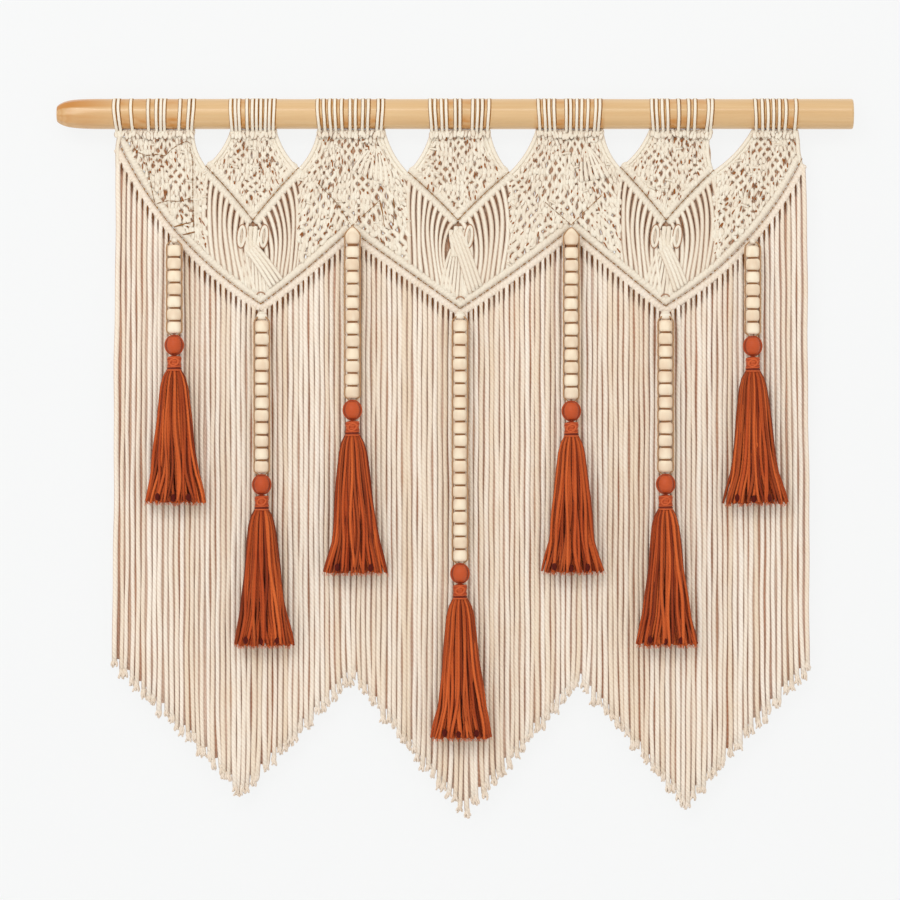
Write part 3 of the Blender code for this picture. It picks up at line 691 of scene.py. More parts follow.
# A place in a patch's net. Lanes start at the header and spread as they go down, and rows bend with the
# lower edge: x = middle + s * (0.9 + spread * t), z = top - t - bend * |s| * t / 40, where t / 40 stops at 1.
def fanPlace(net, s, t):
    return np.stack([net["middle"] + s * (0.9 + net["spread"] * t),
                     net["top"] - t - net["bend"] * np.abs(s) * np.minimum(t / 40, 1)], -1)


# How open the net is at a place: three slow waves added up, from 0 where it is knotted tight to 1.
def openness(net, at):
    x, z, phase = at[..., 0], at[..., 1], net["phase"]
    wave = (np.sin(x / 5.3 + z / 8.7 + phase) + np.sin(x / 3.9 - z / 6.1 + 2 * phase)
            + np.sin(x / 10.3 + z / 4.7 + 3 * phase))
    return clamp(0.42 + wave / 2.7)


# How far a beat of the net comes early or late at a place: a product of two slow sines, plus a third sine.
def unrest(net, at):
    x, z, phase = at[..., 0], at[..., 1], net["phase"]
    return 1.1 * np.sin(x / 8.3 + phase) * np.sin(z / 7.7 - phase) + 0.7 * np.sin(x / 3.7 + z / 5.9 + phase)


# Whether places lie inside the patch and farther than gap from the openings beside it.
def clearOf(net, at, gap):
    clear = inside(net["outline"], at)
    for line, hand in net["edges"]:
        clear &= distanceTo(line, at) > gap
    return clear


# The net's cords run down in lanes. Each swings from side to side against its neighbours, by
# swing * cos(pi * (depth / down + lane number)), so that two lanes meet at a knot and part again below it.
def addLanes(store, net):
    lane = np.arange(-patch["lanes"], patch["lanes"] + 1)[:, None]
    depth = np.linspace(*patch["reach"])
    shown = clearOf(net, fanPlace(net, lane * net["pitch"], depth), patch["clear"][0])
    first, last, keep = shownSteps(shown, 2)
    lane, first, last = lane[keep], depth[first][:, None], depth[last][:, None]
    t = first + (last - first) * np.linspace(0, 1, 76)
    at = fanPlace(net, lane * net["pitch"], t)
    beat = np.pi * (t / net["down"] + lane) + unrest(net, at)
    local = net["pitch"] * (0.9 + net["spread"] * t)
    wide = openness(net, at)
    low, high = patch["swing"]
    x = at[..., 0] + (low + (high - low) * wide) * np.cos(beat) * local / 3.5
    x = x + 0.5 * np.sin(t / 11 + 6.28 * chance.random((len(lane), 1)))
    y = -0.75 + 0.4 * np.cos(beat) * np.where(lane % 2, 1, -1) + 0.3 * chance.random((len(lane), 1))
    thick = 0.5 * local * (1.0 + 0.12 * chance.random((len(lane), 1)))
    # Painted shade browns the sides of the lanes where they part from their neighbours.
    lean = np.cos(circle(6))
    parted = clamp(0.35 - (0.3 + wide)[..., None] * np.sign(lean) * np.cos(beat)[..., None])
    brown = parted * clamp((np.abs(lean) - 0.66) / 0.34)
    addTubes(store, xyz(x, y, at[..., 1]), thick[..., None], flat=0.9, tint=brown)


# A knot closes over two cords where they meet, at every other step of depth / down between two lanes: a
# smooth bead along the lane, or a flat loop across it, an ellipse of half along the row and 1.5 in y.
def addNetKnots(store, net):
    lane, row = np.arange(-patch["lanes"], patch["lanes"] + 1)[:, None], np.arange(patch["knotRows"])
    between = (lane + 0.5) * net["pitch"]
    t = net["down"] * row
    t = t - net["down"] / np.pi * unrest(net, fanPlace(net, between, t))
    at = fanPlace(net, between, t)
    at = at + 1.0 * (chance.random(at.shape) - 0.5)
    wide = openness(net, at)
    shown = clearOf(net, at, patch["clear"][1])
    shown &= np.where((row + lane) % 2 == 0, wide < 0.5 + 0.5 * chance.random(wide.shape),
                      wide < 0.25 * chance.random(wide.shape) + 0.1)
    across = chance.random(wide.shape) < 0.07
    way = unit(fanPlace(net, between, t + 1) - fanPlace(net, between, t))
    way = unit(way + 0.7 * (chance.random(way.shape) - 0.5))
    addKnots(store, upright(at[shown & ~across], -1.9), upright(way[shown & ~across]))
    centre, along = upright(at[shown & across], -0.9)[:, None], upright(way[shown & across])[:, None]
    turn = circle(10)[:, None]
    half = 0.72 * net["pitch"] * (0.85 + 0.4 * chance.random((len(centre), 1, 1)))
    loops = centre + half * np.cos(turn) * np.cross(along, backwards) + 1.5 * np.sin(turn) * backwards
    # The flat loops are browned at their sides and at their two ends: painted shade.
    brown = 0.4 * creviceShade(7, 1, 0.6) + 0.5 * clamp(np.abs(np.cos(turn)) - 0.8)
    addTubes(store, loops, 1.05, 7, along, closed=True, tint=brown)


# Short brown spindles follow the lanes between the knots as the painted shade of hollows there: their
# radius is size * (1 - 0.9 v^4).
def addShadeHollows(store, net):
    s, t = chance.uniform(-60, 60, patch["hollows"]), chance.uniform(3, 105, patch["hollows"])
    place = fanPlace(net, s, t)
    place = place[clearOf(net, place, patch["clear"][2])]
    count = len(place)
    lean = (0.012 * (place[:, 0] - net["middle"]) + 0.5 * (chance.random(count) - 0.5))[:, None]
    v = np.linspace(-1, 1, 7)
    reach = (0.9 + 1.9 * chance.random(count) ** 2)[:, None] * v
    curve = 0.5 * (chance.random((count, 1)) - 0.5) * v ** 2
    path = xyz(place[:, :1] + np.sin(lean) * reach + curve, -2.75, place[:, 1:] - np.cos(lean) * reach)
    size = (0.35 + 0.4 * chance.random((count, 1, 1))) * (1 - 0.9 * v ** 4)[:, None]
    addTubes(store, path, size, shade=chance.random(count), tint=1.0)


# Flat cords behind an outline, their fronts painted brown as the shade of what lies over them. Each follows
# one line of the given lanes (lanes, depths, 2), from its first point inside the outline to its last.
def addBacking(store, outline, lines, cord, y=0.35, hidden=False):
    first, last, keep = shownSteps(inside(outline, lines) & ~np.asarray(hidden), 1)
    lines, rows = lines[keep], np.arange(len(first))[:, None]
    steps, drawn = patch["backSteps"]
    part = first[:, None] + (last - first)[:, None] * np.linspace(0, 1, steps)
    low, high = np.floor(part).astype(int), np.ceil(part).astype(int)
    path = lines[rows, low] + (lines[rows, high] - lines[rows, low]) * (part - low)[..., None]
    shadow = 0.6 + 0.3 * chance.random((len(lines), drawn, 1))[:, :steps]
    addTubes(store, upright(path, y), cord, flat=0.75, shade=0.8, tint=shadow * (np.sin(circle(6)) > 0.1))


# Behind the net lie more of its cords along the same fan, but for what would show in the openings.
def addPatchBacking(store, net):
    lanes = (np.arange(-patch["backLanes"], patch["backLanes"] + 1) * patch["backPitch"])[:, None]
    line = fanPlace(net, lanes, np.linspace(-4, 125, 64))
    line[..., 0] += 0.35 * np.sin(line[..., 1] / 3.1 + lanes)
    hidden = np.zeros(line.shape[:2], bool)
    for edge, hand in net["edges"]:
        edgeX = np.interp(line[..., 1], edge[::-1, 1], edge[::-1, 0])
        hidden |= ((line[..., 0] - edgeX - hand * 2.5) * hand < 0) & (line[..., 1] > edge[-1, 1])
    outline = net["outline"] - (0, 4.5) * (net["outline"][:, 1:] < -50)
    addBacking(store, outline, line, patch["backCord"], hidden=hidden)


# A patch is a net of cords, with its knots, its hollows and the cords behind it.
def makePatch(g):
    kind = "vee" if g % 2 else "wing" if g in (2, 4) else "end"
    net = {**patch["kinds"][kind], "phase": g + 1, "middle": sum(groups[g]) / 2,
           "top": wraps["headerZ"] - 1.0, "outline": patchOutline(g), "edges": openEdges(g)}
    store = newStore()
    for add in (addLanes, addNetKnots, addShadeHollows, addPatchBacking):
        add(store, net)
    makePiece(f"knottedPatch{g + 1}", store, cotton, "cotton_cord", "knotted_panel")


for g in range(len(groups)):
    makePatch(g)


# Smooth cords at the patches' edges: three down each side of an opening and a little past the notch, two fans
# over the wings, one cord at each end of the panel, knots at the junctions, and three straight cords.
def makeEdges():
    store = newStore()
    # Each cord here gets painted crevice shade on its sides.
    for g in range(len(groups)):
        for line, hand in openEdges(g):
            past = line[-1] + 3.0 * unit(line[-1] - line[-2])
            for distance, level in patch["edgeCords"]:
                path = offsetLine(np.concatenate([line, [past]]), hand * distance)
                path = layLine(path, 16, level + 0.5 * (hand > 0))
                addTubes(store, path, patch["edgeCord"], 10, shade=0.4 * chance.random(1), tint=(0.75, 0.8))
    for (x, z), ends in patch["fans"]:
        for n, end in enumerate(np.linspace(*ends), -3):
            path = layLine(bowedLine((x + 0.8 * n, z - 0.3 * abs(n)), end, -0.5 * n), 12, -2.4)
            addTubes(store, path, np.linspace(0.8, 2.0, 12), 8, flat=0.6, tint=(0.95, 0.75))

    # The cords at the ends run from the rod over the ends of the rows into the fringe.
    for side in patch["sideCords"]:
        line = layLine(side, 24)
        line[1:-1] = (line[:-2] + 2 * line[1:-1] + line[2:]) / 4
        line[:, 1] = np.linspace(-2.6, 0.4, 24)
        addTubes(store, line, 1.9, 10, tint=(0.8, 0.75))
    for x, z in (vees["spots"][2], vees["spots"][4]):
        spread, rise = np.array(patch["junctionKnots"])
        addKnots(store, xyz(x + spread, -2.0, z + 5.5 + rise), unit(xyz(0.12 * spread, 0, -1)))
    for x in patch["straightCords"]:
        z = np.linspace(-44.0, heightOn(knotLine, x) + 1, 16)
        addTubes(store, xyz(x + 0.5 * np.sin(z / 9 + x), -0.6, z), 1.6, 8, tint=(0.95, 0.72))
    makePiece("edgeCords", store, cotton, "cotton_cord", "knotted_panel")


makeEdges()


# Eyes: bowed cords and the knotted column.

eye = {
    "cords": 9,
    # for the left and right cords of each eye, how far they bow, and how much more the inner ones do so
    "bows": (((3.4, 1.4), (4.6, 1.2)), ((1.5, 9.5), (4.8, 1.6)), ((3.4, 1.4), (4.6, 1.2))),
    "ringZ": -98.5,
    "crossingZ": -116.0,
    "bundle": 5.4,                       # half the width of the four cords of the column
    "ringX": 9.2,
    # of the dark cord round a ring, painted shade at its edge, and of the ring: half the width and height,
    # the cord's radius, its brown
    "rings": ((3.8, 9.8, 0.5, 0.8), (2.4, 8.3, 1.35, 0.05)),
    "ringCore": (0.5, 1.1, 1.3, 1.3, 1.1, 0.5),
    # where the band over the column starts, seen from the column: in the middle eye, and in the outer ones
    "bandStarts": ((-2.0, 1.0), (-1.0, -13.0)),
    "laneStep": 2.6,
    "lowest": 5.0,                       # from the large V's point up to the eye's lower end
}


# A cord of the eye starts on the small V at a share u of its arm and ends at the same share of the large one.
# Between them it bows outward by (bow + more * u^2) * sin(pi v^0.8), as thick as its neighbours let it be.
def addEyeCords(store, notch, point, low, bow, more):
    run = stretch(offsetLine(vLine, 5.6), *sorted((notch[0], low[0])))
    run = run[::-1] if notch[0] > low[0] else run
    u = (np.arange(eye["cords"]) + 0.35) / (eye["cords"] + 0.2)
    v = np.linspace(0, 1, 17)
    starts = onLine((notch, point), u) - (0, 5.0)
    outward = -1 if notch[0] < point[0] else 1
    line = starts[:, None] * (1 - v[:, None]) + onLine(run, u)[:, None] * v[:, None]
    line[..., 0] += outward * (bow + more * u[:, None] ** 2) * np.sin(np.pi * v ** 0.8)
    line[..., 0] += 0.35 * np.sin(7 * v + 6 * chance.random((len(u), 1)))
    gap = np.abs(np.diff(line[..., 0], axis=0))
    gap = (np.concatenate([gap[:1], gap]) + np.concatenate([gap, gap[-1:]])) / 2
    y = -0.9 + 0.7 * (chance.random((len(u), 1)) - 0.5)
    thick = np.clip(0.49 * gap, 0.85, 2.7)[..., None]
    # The cords' sides get painted crevice shade.
    addTubes(store, upright(line, y), thick, 10, flat=0.72, tint=(1.0, 0.62))


# The column under the small V is a bundle of straight cords with a slim ring on both sides, an ellipse drawn
# aslant. Below it the cords cross, and spread to the point of the large V.
def addColumn(store, point, low, middle):
    # The cords of the column, the band and the fan below get painted crevice shade on their sides.
    x, z = point[0], eye["ringZ"]
    for n, offset in enumerate(np.linspace(-eye["bundle"], eye["bundle"], 4)):
        height = np.linspace(z + 6.5 - 0.8 * abs(offset), eye["crossingZ"] - 2, 14)
        pathX = x + offset * (1 - 0.35 * clamp((z - 6 - height) / 12)) + 0.3 * np.sin(height / 3 + n)
        path = xyz(pathX, -1.7 + 0.3 * np.sin(height / 2.3 + 2 * n), height)
        addTubes(store, path, 1.95, 10, flat=0.75, tint=(0.25, 0.8))
    turn = circle(20)
    for hand in ((1,) if middle else (-1, 1)):
        ringX = x + hand * eye["ringX"]
        for half, high, cord, dark in eye["rings"]:
            ring = xyz(ringX + half * np.cos(turn) + 0.8 * np.sin(turn), -2.4 - 0.5 * dark,
                       z - 3.0 + high * np.sin(turn))
            addTubes(store, ring, cord, 8, backwards, closed=True, shade=0.8 * dark, tint=dark)
        core = xyz(ringX, -2.0, np.linspace(z + 3.5, z - 9.5, 6))
        addTubes(store, core, np.array(eye["ringCore"]), 8, shade=0.9, tint=0.3)

    # A band of cords lies aslant over the column and ends on the large V's right arm, as those below it do.
    start = np.array((x, z)) + eye["bandStarts"][0 if middle else 1]
    rightArm = offsetLine(vLine, 5.0)
    for n in range(4):
        end = pointOn(rightArm, low[0] + 17.0 - 2.9 * n) + (0, 1.5)
        line = bowedLine(start + (2.1 * (1.5 - n), 1.8 * (1.5 - n)), end, -0.6)
        addTubes(store, layLine(line, 14, -2.4 - 0.1 * n), 1.75, 10, flat=0.62, tint=(0.5, 0.72))
    for n in range(7):
        end = pointOn(rightArm, low[0] - 15.5 + 3.1 * n)
        line = bowedLine((x - 6.0 + 1.9 * n, eye["crossingZ"] + 4.0), end, 1.0 - 0.3 * n)
        addTubes(store, layLine(line, 12, -1.3), np.linspace(1.15, 1.75, 12), 10, flat=0.7, tint=(0.8, 0.76))

    # Short upright cords stand under the band, and a thin dark loop of painted shade closes the column just
    # above the V's point.
    for n in range(4):
        columnX = low[0] + 2.0 + 3.3 * n
        height = np.linspace(eye["crossingZ"] - 4.0 - 2.4 * n, heightOn(rightArm, columnX), 8)
        addTubes(store, xyz(columnX + 0.3 * np.sin(height / 3), -0.9, height), 1.5, 8, tint=(0.95, 0.7))
    arch = np.radians(np.linspace(10, 170, 9))
    path = xyz(low[0] + 3.4 * np.cos(arch), -2.6, low[1] + 2.2 + 2.6 * np.sin(arch))
    addTubes(store, path, 0.6, 6, backwards, shade=0.9, tint=0.75)


# The three eyes between the small and the large Vs, with upright brown cords behind them.
def makeEyes():
    store = newStore()
    for k, point in enumerate(vees["smallPoints"]):
        low = np.array(vees["spots"][2 * k + 1]) + (0, eye["lowest"])
        sides = vees["notches"][2 * k:2 * k + 2]
        for notch, (bow, more) in zip(sides, eye["bows"][k]):
            addEyeCords(store, notch, point, low, bow, more)
        addColumn(store, point, low, k == 1)
        feet = [pointOn(knotLine, notch[0]) for notch in sides]
        outline = np.array([sides[0], point, sides[1], feet[1], low, feet[0]])
        lanes = np.arange(sides[0][0], sides[1][0], eye["laneStep"])[:, None]
        depth = np.linspace(-40, -170, 70)
        addBacking(store, outline, np.stack(np.broadcast_arrays(lanes, depth), -1), 1.6, 1.5)
    makePiece("eyeCords", store, cotton, "cotton_cord", "knotted_panel")


makeEyes()


# Fringes.

fringe = {
    # node, how far inside the large V it starts and ends, how much shorter its row is at its left and right
    # end, and how far its outer cords lean out
    "parts": (("fringe_left", -1.0, 0.2, 0.5, 0.0, -3.2),
              ("fringe_middle", 0.2, 0.2, 0.0, 0.0, 0.0),
              ("fringe_right", 0.2, -3.3, 0.0, 2.12, 3.6)),
    # the line on which the cords end
    "hem": ((-283.5, -452.6), (-176.6, -566), (-86.2, -466.5), (8.3, -579.5), (103.6, -470.9),
            (191.5, -575.3), (292.6, -456)),
    "pitch": 4.28,
    "cord": 2.12,
    "backCord": 2.0,
    "ragged": 3.5,                       # how far the ends go past that line or stop short of it
    "frayed": 4.6,                       # length of the plies at a cord's end
    "plies": 5,
    "plySizes": (1.3, 1.3, 1.28, 1.22, 1.15, 1.0, 0.7),
}


# The front cords hang straight but for slow waves, and near its end each leans to one side; their sides get
# painted crevice shade. A second layer hangs behind in the gaps, its fronts painted dark as shade. Where two
# cords leave the row, a small dark spindle of painted shade stands for the hollow between them.
def makeFringe(k):
    store, hollows = newStore(), newStore()
    node, fromLeft, fromRight, rowLeft, rowRight, flareBy = fringe["parts"][k]
    left, right = vees["spots"][2 * k][0] + fromLeft, vees["spots"][2 * k + 2][0] - fromRight
    row = offsetLine(vLine, 0.2 - vees["rowStep"])
    addHitches(store, stretch(row, left + rowLeft, right - rowRight), hand=-1)
    count = int(round((right - left - 2 * fringe["cord"]) / fringe["pitch"])) + 1
    x = np.linspace(left + fringe["cord"], right - fringe["cord"], count)
    top = heightOn(row, x) - 0.5
    uneven = fringe["ragged"] * np.sin(x * 2.7) * np.sin(x * 0.83)
    low = heightOn(fringe["hem"], x) + uneven + fringe["frayed"] - 1.5
    v = np.linspace(0, 1, 28)
    z = top[:, None] + (low - top)[:, None] * v
    swing = chance.random((4, count, 1)) * 2 * np.pi
    ending = clamp((z - low[:, None]) / -45 + 1)
    lean = 2.6 * (chance.random((count, 1)) - 0.5) + 1.1 * np.sin(x / 19)[:, None]
    flare = (flareBy * clamp(1 - np.abs(x - (left if k == 0 else right)) / 45))[:, None]
    sway = 0.35 * np.sin(z / 31 + swing[0]) + 0.22 * np.sin(z / 12 + swing[1])
    pathX = x[:, None] + sway + lean * ending ** 2
    pathX = pathX + flare * v ** 0.7 + 0.6 * (chance.random((count, 1)) - 0.5)
    y = 0.45 * np.sin(z / 25 + swing[2]) + np.where(np.arange(count) % 2, 0.5, -0.1)[:, None]
    dark = creviceShade(8, 1.0, 0.68) * clamp(0.75 + 0.25 * np.sin(z / 17 + swing[3]))[..., None]
    dark = dark * (0.35 + 0.65 * chance.random((count, 1, 1)))
    thick = fringe["cord"] * (0.84 + 0.22 * chance.random((count, 1, 1)))
    addTubes(store, xyz(pathX, y, z), thick, 8, tint=dark)

    v = np.linspace(0, 1, 14)
    back = slice(0, count - 1 if k == 2 else count)
    backX = x[back] + fringe["pitch"] / 2
    backTop, backLow = heightOn(row, backX) - 0.5, heightOn(fringe["hem"], backX) + 9
    backZ = backTop[:, None] + (backLow - backTop)[:, None] * v
    swung = flare[back] * v ** 0.7 + 0.3 * np.sin(backZ / 21 + swing[0][back])
    dark = (0.4 + 0.5 * chance.random((len(backX), 1, 1))) * clamp(np.sin(circle(6)))
    addTubes(store, xyz(backX[:, None] + swung, 2.2, backZ), fringe["backCord"], tint=dark)

    v = np.linspace(0, 1, 9)
    gapX = (x[1:] + x[:-1]) / 2
    path = xyz(gapX[:, None], -1.7, heightOn(row, gapX)[:, None] - 3.2 - 12.0 * v)
    size = (0.5 + 0.3 * chance.random((count - 1, 1, 1))) * np.sin(np.pi * (0.2 + 0.79 * v ** 0.6))[:, None]
    addTubes(hollows, path, size)
    makePiece(f"hollows{k + 1}", hollows, shadedCord, "cotton_cord", node)

    ahead = (pathX[:, -1] - pathX[:, -3]) / np.abs(backZ[0, 0] - backZ[0, 1])
    addFrayedEnds(store, np.stack([pathX[:, -1], y[:, -1], low, ahead])[..., None, None])
    makePiece(f"fringe{k + 1}", store, hangingCotton, "cotton_cord", node)


# Each cord's end comes apart into plies, which start round its middle and curl away from one another along v.
def addFrayedEnds(store, ends):
    endX, endY, low, ahead = ends
    shape = (len(low), fringe["plies"])
    v = np.linspace(0, 1, len(fringe["plySizes"]))
    around = (circle(fringe["plies"]) + chance.random((len(low), 1)) * 6.28)[..., None]
    reach = (0.5 + 0.9 * chance.random(shape))[..., None]
    long = (fringe["frayed"] * (0.75 + 0.6 * chance.random(shape)))[..., None]
    curl = 0.9 * np.sin(v * 5 + 6.28 * chance.random((*shape, 1)))
    tips = xyz(endX + np.cos(around) * (0.9 + reach * v ** 1.5) + curl * v + ahead * 4 * long * v,
               endY + np.sin(around) * (0.8 + 0.5 * reach * v), low + 2.5 - (long + 2.5) * v)
    tips = tips.reshape(-1, len(v), 3)
    shade = 0.2 + 0.5 * chance.random(len(tips))
    addTubes(store, tips, np.array(fringe["plySizes"]), 5, shade=shade, tint=(0.02 + 0.1 * v)[:, None])


for k in range(len(fringe["parts"])):
    makeFringe(k)


# Strings of beads.

hangers = {
    # middle, top of the first bead, number of beads, length from the head's top to the skirt's end
    "places": ((-232.1, -108.4, 7, 139.5), (-159.8, -171.0, 12, 142.6), (-84.8, -98.8, 13, 144.0),
               (4.2, -170.6, 19, 145.6), (96.2, -99.6, 13, 142.8), (174.2, -170.6, 12, 142.6),
               (246.2, -109.2, 7, 139.5)),
    "pointed": (3, 5),                   # the strings whose first bead is a drop with its point up
    "pointHeight": 6.0,
    "pitch": 10.55,
    "y": -8.9,
    "beadRadius": 5.95,
    "sideCord": 0.62,
    "gapShadeCord": 4.2,
    "ball": 4.1,                         # the ball of wound cord above the beads
    "outerBall": 0.62,                   # the part of that size on the outer strings
    "headY": -10.8,
    "headHeight": 18.4,
    "neckLength": 11.0,
    "gap": 0.3,
}


# A bead's radius at a height t of its half is radius * (1 - |t|^5.2)^(1/2.7): a barrel with round shoulders.
# A drop's is 1.25 * radius * sin(0.6 pi p^0.9) * (1 - p^9)^0.4, at a share p of its height.
def makeBeads(number, x, top, beads):
    store = newStore()
    t = roundPlaces(15, 0.9995)
    half = hangers["pitch"] / 2 - 0.08
    centre = top - hangers["pitch"] * (np.arange(beads) + 0.5)
    uneven = 1 + 0.05 * (chance.random((beads, 1, 1)) - 0.5)
    shiftX = 0.5 * (chance.random((beads, 1)) - 0.5)
    paths = xyz(x + shiftX, hangers["y"], centre[:, None] - half * t)
    sizes = np.tile((1 - np.abs(t) ** 5.2)[:, None] ** (1 / 2.7), (beads, 1, 1))
    if number in hangers["pointed"]:
        p, high = np.linspace(0, 1, 15), hangers["pointHeight"]
        paths[0, :, 2] = top + high - (high + hangers["pitch"] - 0.12) * p
        drop = np.minimum(1.25 * np.sin(np.pi * 0.60 * p ** 0.9), 1.02) * (1 - p ** 9) ** 0.4
        sizes[0, :, 0] = np.clip(drop, 0.03, 1.02)
    # Painted shade: each bead's ends, where it meets its neighbours, and its sides are browned.
    rim = clamp((np.abs(t) - 0.93) / 0.07)[:, None] * 0.7 + 0.55 * creviceShade(16, 1.0, 0.9)
    addTubes(store, paths, hangers["beadRadius"] * sizes * uneven, 16, tint=rim, dome=0.1)
    makePiece(f"beads{number}", store, beadWood, "bead_wood", f"bead_string_{number}")


# Thin tan cords run down both sides, drawn in between the beads as a power of a sine, and a thick dark cord
# of painted shade fills the gaps behind the beads' edges.
def makeBeadCords(number, x, top, beads):
    store = newStore()
    low = top - hangers["pitch"] * beads
    z = np.linspace(top + (5.0 if number in hangers["pointed"] else 3.0), low - 2, 10 * beads)
    swell = 0.45 * np.abs(np.sin(np.pi * (top - z) / hangers["pitch"])) ** 0.6
    narrow = clamp((top + 5.5 - z) / 6.0) * np.clip((z - low + 3.5) / 5.0, 0.2, 1)
    for hand in (-1, 1):
        path = xyz(x + hand * (hangers["beadRadius"] + 0.05 + swell) * narrow, hangers["y"] - 0.9, z)
        addTubes(store, path, hangers["sideCord"], 6, backwards, shade=0.9, tint=0.3)
    addTubes(store, xyz(x, hangers["y"] - 0.5, z[5::5]), hangers["gapShadeCord"], 16, shade=0.9, tint=0.85)
    makePiece(f"beadCords{number}", store, tanCord, "cotton_cord", f"bead_string_{number}")


# Above the beads a ball of wound cord hangs under the V's point, of radius 1.12 * ball * sqrt(1 - t^2). Its
# sides and thin bands round it are browned: painted shade.
def makeKnob(number, x, top):
    store = newStore()
    ball = hangers["ball"] * (hangers["outerBall"] if number in (1, 7) else 1.0)
    t = roundPlaces(17)
    path = xyz(x, hangers["y"] + 2.0, top + 0.75 * hangers["ball"] - ball * t)
    knobShade = creviceShade(24, 0.8, 0.88) + 0.2 * (np.sin(14 * t) ** 8)[:, None]
    addTubes(store, path, 1.12 * ball * np.sqrt(1 - t ** 2), 24, shade=0.2, tint=knobShade, dome=0.1)
    makePiece(f"knob{number}", store, cotton, "cotton_cord", f"bead_string_{number}")


# Tassels.

tassel = {
    "headRadius": 6.7,
    "rimRadius": 7.3,
    "coil": 7,
    "coilStep": 1.28,
    # tone of each turn of the coil, the pale ones painted highlight
    "coilHighlightTones": (0.1, 0.9, 0.0, 0.3, 0.0, 1.0, 0.2),
    "core": (4.9, (0.2, 4.0, 8.0, 12.5)),        # radius, and how far below the neck's top its points lie
    # radius, how far below the neck's top, cord, shade and brown of the bindings where the skirt begins
    "bindings": ((5.35, 9.8, 0.85, 0.9, 0.85), (5.6, 11.2, 0.7, 0.0, 0.0)),
    "strands": 96,
    "locks": 13,
    "strand": 1.28,
    "leans": (0.8, 1.6, 2.8, 1.6, 0.6, 1.2, 1.6),      # how far each skirt swings to the right
    # how far down the skirt, and half of its width and of its depth there
    "drops": (0.0, 0.04, 0.1, 0.265, 0.436, 0.607, 0.78, 0.915, 1.0),
    "widths": (5.0, 8.0, 11.2, 13.4, 15.4, 17.8, 20.4, 24.6, 27.3),
    "depths": (4.6, 5.6, 7.0, 8.0, 8.5, 9.0, 9.4, 9.8, 10.0),
    "backLimit": 8.4,                    # how far behind its middle the skirt may reach
    # places of the dark lumps of painted shade in the cut end: across its width, and the height over it
    "hollows": ((-0.72, 5.2), (-0.12, 4.2), (0.5, 4.8)),
    "fibres": 160,
}


# The head is an egg whose radius is r * sqrt(1 - t^2), with a cord round its rim in the plane of the panel.
# Its top and bottom and its sides by the rim are browned: painted shade.
def makeHead(number, x, top):
    store = newStore()
    half, y = hangers["headHeight"] / 2, hangers["headY"]
    t = roundPlaces(17, 0.9995)
    ball = np.sqrt(1 - t ** 2)
    dark = 0.5 * (ball < 0.5)[:, None] + creviceShade(28, 0.9, 0.84)
    addTubes(store, xyz(x, y, top - half - (half - 1.3) * t), tassel["headRadius"] * ball, 28, flat=1.12,
             shade=0.6, tint=dark, dome=0.05)
    turn = circle(36)
    rim = xyz(x + tassel["rimRadius"] * np.cos(turn), y, top - half + (half - 1.45) * np.sin(turn))
    addTubes(store, rim, 0.95, 10, backwards, closed=True, shade=0.5, tint=0.25)
    makePiece(f"tasselHead{number}", store, threadWrap, "tassel_yarn", f"tassel_head_{number}")


# The neck is a coil of thread laid turn on turn, with a loop of it in front, a core that fills the coil, and
# a thicker binding where the skirt begins. All are rings: (cos(turn), sin(turn)) times a radius. The turns
# get painted crevice shade where they touch, the pale turns and the loop are painted highlight, and the
# darker core is painted shade between the turns.
def makeNeck(number, x, top):
    store, y = newStore(), hangers["headY"]
    turn = circle(28)
    coil = np.arange(tassel["coil"])[:, None]
    wide = 5.1 + 0.25 * np.sin(coil * 1.3)
    loops = xyz(x + wide * np.cos(turn), y + wide * np.sin(turn),
                top - (coil * tassel["coilStep"] + 0.7) + 0.25 * np.cos(turn))
    addTubes(store, loops, 0.78, 6, upwards, closed=True, shade=tassel["coilHighlightTones"], tint=(0.35, 0.6))
    bow = xyz(x + 3.4 * np.cos(turn) + 0.8 * np.sin(turn), y - 5.7 + 0.4 * np.abs(np.cos(turn)),
              top - 4.6 + 2.9 * np.sin(turn))
    addTubes(store, bow, 0.8, 6, backwards, closed=True, shade=0.0)
    radius, drops = tassel["core"]
    addTubes(store, xyz(x, y, top - np.array(drops)), radius, 20, shade=0.8, tint=0.7)
    for radius, drop, cord, shade, dark in tassel["bindings"]:
        ring = xyz(x + radius * np.cos(turn), y + radius * np.sin(turn), top - drop)
        addTubes(store, ring, cord, 6, upwards, closed=True, shade=shade, tint=dark)
    makePiece(f"tasselNeck{number}", store, threadWrap, "tassel_yarn", f"tassel_{number}")


